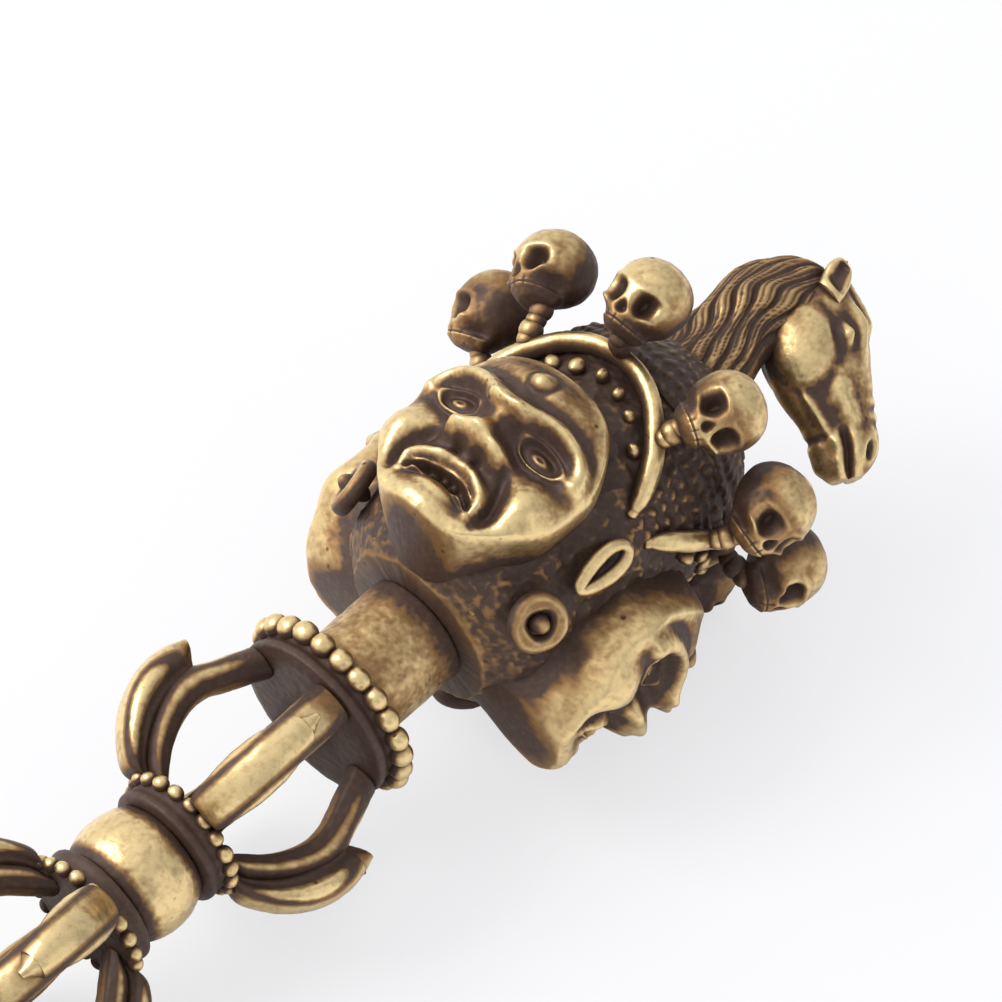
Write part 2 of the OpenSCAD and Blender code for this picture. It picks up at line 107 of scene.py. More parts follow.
HORSE_POLL = (0.3, 9.9)
BOSS_LEN = 11.0
BEAST_R = 9.0
BEAST_W = 3.5
BEAST_BROW = 1.3
BLADE_LEN = 33.0
BLADE_R = 6.2
BLADE_T = 3.2
MASKS = 3
MASK_TURN = 360 / MASKS

Z_COLLAR = KNOB_HALF + GAP
Z_CAGE = Z_COLLAR + KNOB_COLLAR_T + GAP
Z_RIM = Z_CAGE + CAGE_LEN + GAP
Z_NECK = Z_RIM + RIM_COLLAR_T + GAP
Z_HEAD = Z_NECK + NECK_LEN + GAP
Z_CROWN = Z_HEAD + HEAD_LEN + GAP
Z_HORSE = Z_CROWN + CROWN_H + GAP
Z_BOSS = -Z_NECK
Z_BLADE = Z_BOSS - BOSS_LEN - GAP
MASK_MID = HEAD_LEN * 0.46
MASK_TALL = HEAD_LEN * 0.44
MASK_GAP = 2.2
BAND_END = MASK_TURN / 2 - 7
BAND_TOP = HEAD_LEN - 0.5
BAND_DROP = HEAD_LEN * 0.34
BOSS_R = BLADE_R - 1.8

# What only the finished surfaces have, in millimetres
MASK_ARC = 10.1  # radius on which a mask's sideways places are measured
MASK_FOOT = 0.55  # how far a mask hangs below the head
MASK_SKIRT_R = 4.0  # radius at which a mask's skirt is closed inside the head
FACE_DROP = 0.7  # how far the features sit below the middle of the mask
FACE_WIDE = 1.06  # sideways stretch of the features
EYE_X, EYE_Y = 2.75, 0.9
MOUTH_Y, MOUTH_BEND = -3.6, 0.17
CURL = 0.95  # spacing of the curls of hair
CURL_R = 8.36  # radius on which the curls' rows are measured
SKULL_UNIT = SKULL_R / 2.3  # the skull's rows are given for a radius of 2.3
STUD = (0.62, 0.62, 1.1)

# How far the casting's skulls stand off their even places, as far as the photograph shows them
SKULL_DRIFT = {
    1: (0.0, 0.45, 0.45),
    2: (-0.2, 0.15, -0.2),
    3: (-0.15, -0.25, -0.6),
    4: (-0.1, -0.3, -0.5),
    5: (0.15, 0.15, -0.3),
    9: (0.35, 0.05, -0.8),
}

# Each finish: its slot, the tone of its colours, how far the patina is rubbed off and how much
# smoother its bright places are
FINISHES = {
    "aged": ("brass_aged", 1.0, 0.0, 0.24),
    "rubbed": ("brass_rubbed", 1.0, 0.08, 0.26),
    "dark": ("brass_dark", 0.9, -0.2, 0.12),
}

# The camera looks at a place AIM millimetres right of and above the middle of the knob in the
# picture. It stands VIEW_ROUND degrees round from the upper mask, leans VIEW_LOW degrees from the
# square view of the axis towards the blade, and the axis climbs ROLL degrees in the picture
VIEW_ROUND = 30
VIEW_LOW = 23.567
ROLL = 41
AIM = (20.4, 20.8)

# The neck's mount gives the axis of the dagger in the row frame, and so the middle of the knob
SEAT = next(m for m in frame["record"]["mounts"] if m["name"] == "neck_seat")
AXIS = np.array(SEAT["axis"], float)
AXIS /= np.linalg.norm(AXIS)
SIDE_Y = np.array([0.0, -1.0, 0.0])
SIDE_X = np.cross(SIDE_Y, AXIS)
KNOB_MIDDLE = np.array(SEAT["pos_m"], float) - AXIS * (Z_NECK + NECK_LEN / 2) * MM


def place(points):
    """Row-frame metres of points given in the dagger's own millimetres: a turn and a shift."""
    p = np.asarray(points, float) * MM
    return KNOB_MIDDLE + p[..., :1] * SIDE_X + p[..., 1:2] * SIDE_Y + p[..., 2:3] * AXIS


def ramp(a, b, x):
    """Smooth step from 0 at a to 1 at b: t*t*(3 - 2t) of the clipped share t."""
    t = np.clip((x - a) / (b - a), 0, 1)
    return t * t * (3 - 2 * t)


def bump(x, y=0.0):
    """Round hill of height 1: exp(-(x*x + y*y)), with x and y in half widths."""
    return np.exp(-(x * x + y * y))


def unit(v):
    """Vectors made one long: each is divided by its own length."""
    return v / np.linalg.norm(v, axis=-1, keepdims=True)


def circle(count):
    """Angles spread evenly round a circle, in radians, from 0 up to a full turn."""
    return np.arange(count) / count * TAU


def half_turns(count):
    """Angles in degrees round a section: 0 in front and 180 behind, positive on the one side and
    negative on the other."""
    a = np.arange(count)[None] / count * 360
    return np.where(a > 180, a - 360, a)


def smooth(rows, s):
    """Catmull-Rom curve through evenly spaced rows of numbers, at places s from 0 to 1."""
    rows = np.asarray(rows, float)
    last = len(rows) - 1
    x = np.clip(np.asarray(s, float) * last, 0, last - 1e-9)
    i = x.astype(int)
    t = (x - i)[..., None]
    a, b = rows[np.maximum(i - 1, 0)], rows[i]
    c, d = rows[i + 1], rows[np.minimum(i + 2, last)]
    return b + t * 0.5 * ((c - a) + t * ((2 * a - 5 * b + 4 * c - d) + t * (3 * (b - c) + d - a)))


def noise(p, size, seed=0):
    """Value noise from -1 to 1 at points p: random numbers on a lattice of the given size, eased
    between its corners."""
    q = np.asarray(p, float) / size + seed * 17.31
    i = np.floor(q).astype(np.int64)
    f = q - i
    f = f * f * (3 - 2 * f)
    total = 0.0
    for corner in np.ndindex(2, 2, 2):
        j = i + np.array(corner)
        h = (j[..., 0] * 73856093) ^ (j[..., 1] * 19349663) ^ (j[..., 2] * 83492791)
        h = (h ^ (h >> 13)) * 1274126177 & 0xFFFFFF
        w = np.prod(np.where(np.array(corner) == 1, f, 1 - f), axis=-1)
        total = total + w * (h / 0x7FFFFF - 1)
    return total


def rough(p, sizes, heights, seed=0):
    """Sum of noises of several lattice sizes, each times its height."""
    return sum(h * noise(p, s, seed + k) for k, (s, h) in enumerate(zip(sizes, heights)))


def skin(rings, loop=False):
    """Closed surface over rings of points, an array (rings, points, 3). The ends are closed by a
    fan round their middle, or joined to each other where loop is true."""
    rings = np.asarray(rings, float)
    m, n = rings.shape[:2]
    verts = rings.reshape(-1, 3)
    i, j = np.meshgrid(np.arange(m if loop else m - 1), np.arange(n), indexing="ij")
    k, l = (i + 1) % m, (j + 1) % n
    quads = np.stack([i * n + j, i * n + l, k * n + l, k * n + j], -1).reshape(-1, 4)
    if loop:
        return verts, quads, np.zeros((0, 3), int)
    verts = np.vstack([verts, rings[0].mean(0), rings[-1].mean(0)])
    j = np.arange(n)
    l = (j + 1) % n
    low = np.stack([np.full(n, m * n), l, j], -1)
    high = np.stack([np.full(n, m * n + 1), (m - 1) * n + j, (m - 1) * n + l], -1)
    return verts, quads, np.vstack([low, high])


def corners(quads, tris):
    """All triangles of a surface, with each quad cut in two."""
    return np.vstack([quads[:, [0, 1, 2]], quads[:, [0, 2, 3]], tris])


def outward(part):
    """The same surface with its faces turned so that the volume it holds is positive."""
    verts, quads, tris = part
    t = corners(quads, tris)
    volume = np.einsum("ij,ij->", verts[t[:, 0]], np.cross(verts[t[:, 1]], verts[t[:, 2]]))
    return part if volume > 0 else (verts, quads[:, ::-1], tris[:, ::-1])


def join(parts):
    """One surface from several, each turned outwards first."""
    verts, quads, tris, start = [], [], [], 0
    for v, q, t in map(outward, parts):
        verts.append(v)
        quads.append(q + start)
        tris.append(t + start)
        start += len(v)
    return np.vstack(verts), np.vstack(quads), np.vstack(tris)


def normals(verts, quads, tris):
    """Unit normal of each point: the sum of its triangles' cross products, made one long."""
    t = corners(quads, tris)
    cross = np.cross(verts[t[:, 1]] - verts[t[:, 0]], verts[t[:, 2]] - verts[t[:, 0]])
    out = np.zeros_like(verts)
    for k in range(3):
        for c in range(3):
            out[:, c] += np.bincount(t[:, k], cross[:, c], len(verts))
    return out / np.maximum(np.linalg.norm(out, axis=1, keepdims=True), 1e-12)


def relief(verts, quads, tris, reaches):
    """How far each point stands out of its surroundings, in millimetres, for each reach: the
    point less a copy relaxed towards its neighbours' mean, along the normal."""
    pairs = np.vstack([quads[:, [0, 1]], quads[:, [1, 2]], quads[:, [2, 3]], quads[:, [3, 0]],
                       tris[:, [0, 1]], tris[:, [1, 2]], tris[:, [2, 0]]])
    pairs = np.vstack([pairs, pairs[:, ::-1]])
    pairs = pairs[np.argsort(pairs[:, 0], kind="stable")]
    edge = np.median(np.linalg.norm(verts[pairs[:, 0]] - verts[pairs[:, 1]], axis=1))
    starts = np.flatnonzero(np.r_[True, np.diff(pairs[:, 0]) > 0])
    count = np.diff(np.r_[starts, len(pairs)])[:, None]
    up = normals(verts, quads, tris)
    q, done, out = verts.copy(), 0, []
    for reach in reaches:
        turns = int(np.clip(2 * (reach / edge) ** 2, 1, 160))
        for _ in range(turns - done):
            q += 0.6 * (np.add.reduceat(q[pairs[:, 1]], starts) / count - q)
        done = max(done, turns)
        out.append(np.einsum("ij,ij->i", verts - q, up))
    return out


def worn(verts, quads, tris, up, rub):
    """Wear of each point, whose normal is up: high on what stands out of its surroundings, in fine
    and in broad forms, and, by rub, on what faces away from the axis."""
    fine, broad = relief(verts, quads, tris, (0.16, 0.65))
    radial = verts[:, :2] / np.maximum(np.linalg.norm(verts[:, :2], axis=1, keepdims=True), 1e-9)
    out = np.clip(np.einsum("ij,ij->i", up[:, :2], radial), 0, 1)
    proud = 0.36 + 0.24 * np.tanh(fine / 0.018) + 0.42 * np.tanh(broad / 0.07)
    return proud + rub * 0.75 * (out - 0.72)


def add_mesh(name, verts, quads, tris, wear_and_shade):
    """Makes one smooth Blender mesh of a surface, with its wear_and_shade values as an attribute:
    rubbing, and painted shadow where a shift adds it.
    """
    mesh = bpy.data.meshes.new(name)
    mesh.vertices.add(len(verts))
    mesh.vertices.foreach_set("co", place(verts).astype(np.float32).ravel())
    loops = np.concatenate([quads.ravel(), tris.ravel()])
    sizes = np.r_[np.full(len(quads), 4), np.full(len(tris), 3)]
    mesh.loops.add(len(loops))
    mesh.loops.foreach_set("vertex_index", loops.astype(np.int32))
    mesh.polygons.add(len(sizes))
    mesh.polygons.foreach_set("loop_start", np.r_[0, np.cumsum(sizes)[:-1]].astype(np.int32))
    mesh.polygons.foreach_set("use_smooth", np.ones(len(sizes), bool))
    mesh.update(calc_edges=True)
    values = mesh.attributes.new("wear_and_shade", "FLOAT", "POINT").data
    values.foreach_set("value", np.clip(wear_and_shade, 0, 1).astype(np.float32))
    return mesh


def turned(points, degrees):
    """Points turned round the axis."""
    a = math.radians(degrees)
    p = np.asarray(points, float)
    x = p[..., 0] * math.cos(a) - p[..., 1] * math.sin(a)
    y = p[..., 0] * math.sin(a) + p[..., 1] * math.cos(a)
    return np.stack([x, y, p[..., 2]], -1)


def moved(part, change):
    """A surface with its points passed through a function."""
    return change(part[0]), part[1], part[2]


def turned_part(part, degrees):
    """A surface turned round the axis."""
    return moved(part, lambda p: turned(p, degrees))


def flipped(part):
    """A surface mirrored through the middle of the knob, for the lower half of the grip."""
    return moved(part, lambda p: p * np.array([1.0, 1.0, -1.0]))


def lathe(profile, around=160, step=0.09, press=None):
    """Solid turned round the axis: [radius, z] corners joined by straight lines, cut into short
    steps and eased, then carried round the circle. Both ends lie on the axis. press(a, r, z) is
    added to the radius."""
    profile = np.asarray(profile, float)
    cuts = [np.linspace(a, b, max(2, int(np.linalg.norm(b - a) / step)), endpoint=False)
            for a, b in zip(profile[:-1], profile[1:])]
    line = np.vstack(cuts + [profile[-1:]])
    for _ in range(3):
        line[1:-1] = (line[:-2] + 2 * line[1:-1] + line[2:]) / 4
    a = circle(around)
    r, z = line[1:-1, :1], line[1:-1, 1:]
    if press:
        r = r + press(a, r, z)
    return skin(np.stack([r * np.cos(a), r * np.sin(a), z + 0 * a], -1))


def tube(path, side, up, section_x, section_y, loop=False):
    """Section carried along a path: each ring is the path's point plus the section's x along
    side and y along up."""
    x, y = section_x[..., None] * side[:, None], section_y[..., None] * up[:, None]
    return skin(path[:, None] + x + y, loop)


def ball(centre, radius, rings=14, points=20):
    """Sphere as rings of latitude; radius may be one number or three."""
    lat = (np.arange(rings) + 0.5) / rings * math.pi
    lon = circle(points)
    r = np.broadcast_to(np.asarray(radius, float), 3)
    x = np.sin(lat)[:, None] * np.cos(lon)
    y = np.sin(lat)[:, None] * np.sin(lon)
    z = np.cos(lat)[:, None] + 0 * lon
    return skin(np.asarray(centre) + np.stack([x * r[0], y * r[1], z * r[2]], -1))


def bead_string(ring_r, z, bead_r, count, seed):
    """Beads set round the axis, each a little different in size and place."""
    rng = np.random.default_rng(seed)
    beads = []
    for k in range(count):
        out, rise = rng.uniform(-0.05, 0.05), rng.uniform(-0.05, 0.05)
        size = rng.uniform(0.98, 1.1, 3) * (1.12, 1.18, 1.06)
        bead = ball((ring_r + out, 0, z + rise), bead_r * size, 14, 20)
        beads.append(turned_part(bead, 360 * k / count))
    return beads


def beaded_collar(z0, r, t, bead, count, seed):
    """Collar from z0 up: a disc, a waist and a string of beads. Its outline is given by how many
    beads it stays inside the radius, and by the share of the thickness."""
    outline = [(0.35, 0.1), (0.35, 0.3), (0.75, 0.45), (0.55, 0.55), (0.55, 0.85), (1.2, 1)]
    rim = [(r - bead * inside, z0 + t * share) for inside, share in outline]
    body = lathe([(0, z0), (r * 0.82, z0), *rim, (0, z0 + t)])
    return [body, *bead_string(r - bead * 0.25, z0 + t - bead * 0.85, bead, count, seed)]


def oval(z_mid, r_mid, z_half, r_half, degrees):
    """Point [radius, z] on an oval round the middle of a cage; the angle starts at the head end."""
    a = math.radians(degrees)
    return [r_mid + r_half * math.sin(a), z_mid + z_half * math.cos(a)]


def bar_between(rows, exponent, waist, stations=130, points=48):
    """Curved bar: rows of inner point, outer point and width, smoothed along the bar. Its section
    is a superellipse between the two points, drawn in by a groove along its flanks."""
    row = smooth(rows, np.linspace(0, 1, stations))
    a = circle(points)
    c, s = np.cos(a), np.sin(a)
    e = 0.5 + 0.5 * np.sign(c) * np.abs(c) ** exponent
    y = np.sign(s) * np.abs(s) ** exponent * (1 - waist * bump((e - 0.3) / 0.16))
    inner, outer, width = row[:, None, 0:2], row[:, None, 2:4], row[:, None, 4]
    m = inner + (outer - inner) * e[None, :, None]
    return skin(np.stack([m[..., 0], y * width / 2, m[..., 1]], -1))


def prong():
    """One prong of a cage: the ring bar that reaches the rim collar and the hooked claw on it."""
    z_mid, half = Z_CAGE + CAGE_LEN * 0.5, CAGE_LEN * 0.5
    bar = PRONG_T * 0.44
    claw = PRONG_T - bar
    inner_r = CAGE_R - PRONG_T
    bar_w = PRONG_W * 0.84
    foot_in, foot_out = ROD_R + 0.7, KNOB_COLLAR_R - 0.35
    top_in, top_out = RIM_COLLAR_R - 2.3, RIM_COLLAR_R - 0.15
    ring = [[foot_in, Z_CAGE, foot_out - 0.5, Z_CAGE, bar_w]]
    for a in (142, 124, 106, 90, 76, 64):
        out = 0.35 * ramp(128, 80, a)
        inside = oval(z_mid, 0.6, half - 0.3, inner_r - 0.9 + out, a)
        outside = oval(z_mid, 0.6, half + bar * 0.5, inner_r + bar - 0.6 + 1.3 * out, a)
        ring.append([*inside, *outside, bar_w])
    ring.append([top_in, Z_RIM - GAP, top_out, Z_RIM - GAP, bar_w])
    hook = [[foot_out - 1.3, Z_CAGE, foot_out, Z_CAGE, PRONG_W * 0.62]]
    for a in (150, 134, 118, 102, 88, 78):
        width = (0.5 + 0.5 * ramp(60, 110, a)) * (1 - 0.3 * ramp(118, 160, a))
        inside = oval(z_mid, 1.2, half - 0.4 + bar * 0.5, inner_r + bar - 1.55, a)
        outside = oval(z_mid, 1.2, half + claw * 0.65, CAGE_R - 1.2, a)
        hook.append([*inside, *outside, PRONG_W * width])
    hook += [[CAGE_R - 2.1, z_mid + half * 0.34, CAGE_R - 0.2, z_mid + half * 0.3, PRONG_W * 0.42],
             [CAGE_R - 1.2, z_mid + half * 0.47, CAGE_R - 0.55, z_mid + half * 0.5, PRONG_W * 0.15]]
    return [bar_between(ring, 0.9, 0.1), bar_between(hook, 0.95, 0.2)]


def prong_shade_and_tone(p):
    """A prong is darker along its edges, and darker by painted shadow where it meets the rim
    collar.
    """
    side = np.abs(p[:, 1])
    edge = ramp(0.7, 1.15, side) * ramp(1.42, 1.22, side)
    # the last term is painted shadow towards the rim collar
    return -0.04 - 0.8 * edge - 0.6 * ramp(Z_RIM - 2.2, Z_RIM - 0.4, np.abs(p[:, 2]))


def softened(outline, h, reach):
    """Mean of an outline's radius over five heights within reach of h, which rounds its corners."""
    return sum(outline(h + reach * k / 2) for k in (-2, -1, 0, 1, 2)) / 5


def head_base(h):
    """Radius of the head between its masks at height h over the neck, as straight stretches."""
    share = [0, 0.04, 0.12, 0.25, 0.5, 0.78, 0.9, 1]
    radius = [NECK_R + 1.2, *(HEAD_R - d for d in (2.4, 1.6, 1.1, 0.8, 0.7, 1, 1.5))]
    return np.interp(np.asarray(h) / HEAD_LEN, share, radius)


def mask_base(h):
    """Radius of the plain ground of a mask, which ends flat over the neck."""
    share = [0, 0.22, 0.5, 0.78, 0.9, 1]
    radius = [HEAD_R - 1, HEAD_R - 0.4, HEAD_R, HEAD_R - 0.4, HEAD_R - 0.9, HEAD_R - 1.6]
    return MASK_H + np.interp(np.asarray(h) / HEAD_LEN, share, radius)


def head_point(radius, h, degrees):
    """Point of the head at a radius, a height over the neck and an angle round the axis."""
    a = np.radians(degrees)
    return np.stack([radius * np.cos(a), radius * np.sin(a), h + Z_HEAD + 0 * a], -1)


def curls(a, z, r):
    """Small round curls in staggered rows: the cosine product of two slanted directions."""
    u, v = a * r / CURL + 0.22 * np.sin(z * 2.3 + a * 5), z / CURL + 0.2 * np.sin(a * 11 + z)
    return np.clip(np.cos((u + v) * math.pi) * np.cos((u - v) * math.pi), 0, 1) ** 0.7


def head_core():
    """The head between its masks: a solid of turned outline with pitted skin, and small curls of
    hair above the bands."""
    rows, columns = 144, 352
    h = (np.arange(rows) / (rows - 1) * HEAD_LEN)[:, None]
    a = np.arange(columns)[None] / columns * 360
    above = ramp(-0.4, 0.6, h - band_h((a + 180) % MASK_TURN - MASK_TURN / 2 + 0 * h))
    soft = softened(head_base, h, 0.8)
    pits = rough(head_point(soft, h, a), (1.1, 0.55, 0.3), (0.18, 0.1, 0.06), 3)
    r = soft - 0.25 + above * 0.2 * curls(np.radians(a), h, CURL_R) + pits
    return skin(head_point(r, h, a))


def near_line(x, y, points):
    """Distance to a smooth line through a few points, and how far along it the nearest place is."""
    points = smooth(points, np.linspace(0, 1, 3 * len(points) - 2))
    best = np.full(np.broadcast(x, y).shape, 1e9)
    where = np.zeros_like(best)
    last = len(points) - 1
    for k, ((ax, ay), (bx, by)) in enumerate(zip(points[:-1], points[1:])):
        dx, dy = bx - ax, by - ay
        t = np.clip(((x - ax) * dx + (y - ay) * dy) / (dx * dx + dy * dy), 0, 1)
        d = np.hypot(x - ax - t * dx, y - ay - t * dy)
        closer = d < best
        best = np.where(closer, d, best)
        where = np.where(closer, (k + t) / last, where)
    return best, where


def ridge(x, y, points, width, height, taper=0.35):
    """Rounded ridge along a line: height * exp(-(d / width)^2), thinner towards both ends."""
    d, s = near_line(x, y, points)
    ends = ramp(0, taper, s) * ramp(1, 1 - taper, s) * 0.75 + 0.25
    return height * ends * np.exp(-((d / (width * (0.6 + 0.4 * ends))) ** 2))


def mask_relief(x, y):
    """Relief of a mask, x mm sideways and y mm above its middle. A wrathful guardian's mask on
    the usual proportions: heavy brows over round eyes at mid height, a third eye, a broad nose,
    full cheeks, a moustache round a mouth with two fangs, and a round chin."""
    ax = np.sqrt(x * x + 0.12)
    z = 0.5 * bump(x / 5.5, (y - 1.0) / 6.5)
    # Forehead, temples, cheeks and jaw
    z += 1.0 * bump(x / 3.6, (y - 4.9) / 1.5)
    z += 0.25 * bump((ax - 5.5) / 1.0, (y - 0.8) / 1.6)
    z += 1.6 * bump((ax - 4.1) / 1.7, (y + 2.4) / 2.2)
    z += 0.7 * bump((ax - 3.4) / 1.6, (y + 5.6) / 1.3)
    # Eye sockets, eyeballs, lids and pupils
    z -= 1.5 * bump((ax - EYE_X) / 1.2, (y - EYE_Y - 0.05) / 0.9)
    eye = np.hypot((ax - EYE_X) / 0.98, (y - EYE_Y) / 0.72)
    z += 1.75 * bump(eye / 0.95) + 0.35 * bump((eye - 1.3) / 0.22) - 0.2 * bump(eye / 0.25)
    # Brows: a thick rounded ridge that ends beside the eye, and the knot between them
    brow = [(0.9, 1.95), (1.6, 2.6), (2.7, 2.9), (3.8, 2.65), (4.5, 1.95), (4.75, 1.05)]
    d, s = near_line(ax, y, brow)
    z += (1.7 - 0.7 * s) * bump(d / (0.82 - 0.1 * s)) + 0.35 * bump(x / 0.9, (y - 2.7) / 0.8)
    # Third eye, upright
    lens = np.hypot(x / 0.62, (y - 5.2) / 0.95)
    z += 0.5 * bump(lens / 0.95) - 0.12 * bump((lens - 1.15) / 0.3)
    # Nose: bridge with wrinkles, round tip, wings and nostrils
    z += 1.2 * bump(x / 0.9, (y - 0.8) / 1.9) + 1.7 * bump(x / 1.05, (y + 0.9) / 0.9)
    z += 1.4 * bump((ax - 1.35) / 0.7, (y + 1.1) / 0.65)
    z -= 0.8 * bump((ax - 0.7) / 0.3, (y + 1.78) / 0.26)
    z += 0.06 * np.sin(y * 8) * bump(x / 0.9, (y - 2.0) / 0.9)
    # Fold from the nose down the cheek, and the moustache inside it
    z -= ridge(ax, y, [(2.0, -1.3), (2.75, -2.4), (3.15, -3.7), (2.95, -5.0)], 0.42, 0.75)
    hair = [(0.2, -2.45), (1.0, -2.65), (1.8, -3.15), (2.35, -3.9), (2.3, -4.7)]
    z += ridge(ax, y, hair, 0.44, 0.75, 0.3)
    # Mouth: drawn down at its corners, with an upper row of teeth, two fangs and a lower lip
    my = y - MOUTH_Y + MOUTH_BEND * ax * ax
    gap = np.hypot(ax / 2.1, my / 0.46)
    inside = ramp(1.15, 0.7, gap)
    z -= 1.1 * inside
    teeth = np.abs(np.sin(x * math.pi / 0.66)) ** 0.6
    z += inside * 0.5 * teeth * ramp(-0.1, 0.12, my) * ramp(1.4, 1.1, ax)
    z += 0.7 * bump((ax - 1.5) / 0.36, (my + 0.1) / 0.6) * ramp(1.5, 1.2, gap)
    z += 0.5 * bump(x / 1.5, (y + 4.65) / 0.5)
    # Chin
    z += 1.6 * bump(x / 2.2, (y + 5.9) / 1.3) - 0.1 * bump(x / 0.3, (y + 6.3) / 0.8)
    return z


def mask_share(x, y):
    """How far out a place on a mask is: 0 in its middle, about 1 where it meets the head."""
    wide = 7.3 - 2.6 * ramp(-2.5, -MASK_MID, y) - 1.3 * ramp(0, 4, y)
    tall = np.where(y > 0, MASK_TALL - MASK_GAP, MASK_TALL + 1.5)
    foot = ramp(1.6, -0.6, y + MASK_MID)
    return (np.abs(x) / wide) ** 2.6 + (np.abs(y) / tall) ** 3.2 + 0.75 * foot**2


def mask():
    """One mask: the relief over a domed outline that plunges into the head at its rim, closed by
    a skirt inside the head."""
    rows, columns = 264, 246
    y = np.linspace(-MASK_FOOT - MASK_MID, MASK_TALL - 0.7, rows)[:, None]
    x = np.linspace(-8.0, 8.0, columns)[None]
    q = mask_share(x, y)
    h = y + MASK_MID
    h = h + (0.2 - h) * ramp(0.4, -0.2, h) * ramp(0.72, 0.95, q)
    level = y + FACE_DROP + 0.45
    level = np.where(level > 0, level / 0.86, level)
    r = softened(mask_base, h, 0.9) + mask_relief(x / FACE_WIDE, level) * ramp(1.14, 0.68, q)
    r = r + (head_base(h) - 0.8 - r) * ramp(0.62, 1.18, q)
    turn = np.degrees(x / MASK_ARC) + 0 * y
    front = head_point(r, h + 0 * x, turn)
    inner = head_point(MASK_SKIRT_R + 0 * r, np.clip(h, 0.3, HEAD_LEN - 2) + 0 * x, turn)

    def border(grid):
        """The outermost points of a grid, once round."""
        return np.concatenate([grid[0, :-1], grid[:-1, -1], grid[-1, :0:-1], grid[:0:-1, 0]])

    floor = border(inner)
    verts = np.vstack([front.reshape(-1, 3), floor, floor.mean(0, keepdims=True)])
    at = np.arange(rows * columns).reshape(rows, columns)
    quads = np.stack([at[:-1, :-1], at[:-1, 1:], at[1:, 1:], at[1:, :-1]], -1).reshape(-1, 4)
    around, start, count = border(at), at.size, len(floor)
    k = np.arange(count)
    l = (k + 1) % count
    skirt = np.stack([around[l], around[k], start + k, start + l], -1)
    fan = np.stack([start + l, start + k, np.full(count, start + count)], -1)
    return verts, np.vstack([quads, skirt]), fan


def mask_patina_and_shade(p):
    """A mask is darker in its eyes, its mouth and its forehead and at its rim; underneath, painted
    shadow under the overhanging chin darkens it.
    """
    x, y = np.arctan2(p[:, 1], p[:, 0]) * MASK_ARC, p[:, 2] - Z_HEAD - MASK_MID
    rim, foot = ramp(0.95, 1.15, mask_share(x, y)), ramp(0.95, 0.2, y + MASK_MID)
    y = y + FACE_DROP
    eyes = bump((np.abs(x) - EYE_X) / 1.2, (y - EYE_Y) / 0.85)
    mouth = bump(x / 2.3, (y - MOUTH_Y + 0.6 + MOUTH_BEND * x * x) / 0.6)
    forehead = ramp(3.1, 3.9, y)
    # the foot term is painted shadow under the overhanging chin
    return 0.04 - np.maximum(0.5 * rim, 0.8 * foot) - 0.4 * eyes - 0.4 * mouth - 0.22 * forehead


def band_h(p):
    """Height of a mask's band over the neck, p degrees from the mask's middle."""
    return BAND_TOP - BAND_DROP * (np.abs(p) / BAND_END) ** 2.2


def off_head(h, p, d):
    """Point at distance d off the head's plain outline."""
    slope = (head_base(h + 0.2) - head_base(h - 0.2)) / 0.4
    n = np.hypot(1, slope)
    return head_point(head_base(h) + d / n, h - d * slope / n, p)


def band():
    """Arched band: a flat-backed strip swept over the mask, with a row of pellets inside it."""
    p = np.linspace(-BAND_END, BAND_END, 240)
    path = off_head(band_h(p), p, BAND_R * 0.75 - 0.8 * (np.abs(p) / BAND_END) ** 12)
    along = unit(np.gradient(path, axis=0))
    out = np.stack([np.cos(np.radians(p)), np.sin(np.radians(p)), 0.35 + 0 * p], -1)
    side = unit(np.cross(along, out))
    up = np.cross(side, along)
    a = circle(28)
    c, s = np.cos(a), np.sin(a)
    thin = np.sqrt(np.clip(1 - (np.abs(p) / BAND_END) ** 14, 0.3, 1))[:, None]
    x = thin * BAND_R * (0.75 + 0.5 * (p[:, None] / BAND_END) ** 2) * c
    y = thin * BAND_R * 1.05 * np.sign(s) * np.abs(s) ** 0.85
    parts = [tube(path, side, up, x, y)]
    rng = np.random.default_rng(4)
    for k in range(PELLETS):
        q = (MASK_HALF - 8) * (2 * k / (PELLETS - 1) - 1)
        h = band_h(q) - BAND_R - PELLET_R * rng.uniform(2.2, 3.2)
        centre = off_head(h, q + rng.uniform(-1, 1), -0.05)
        parts.append(ball(centre, PELLET_R * rng.uniform(0.9, 1.6, 3), 14, 18))
    return parts


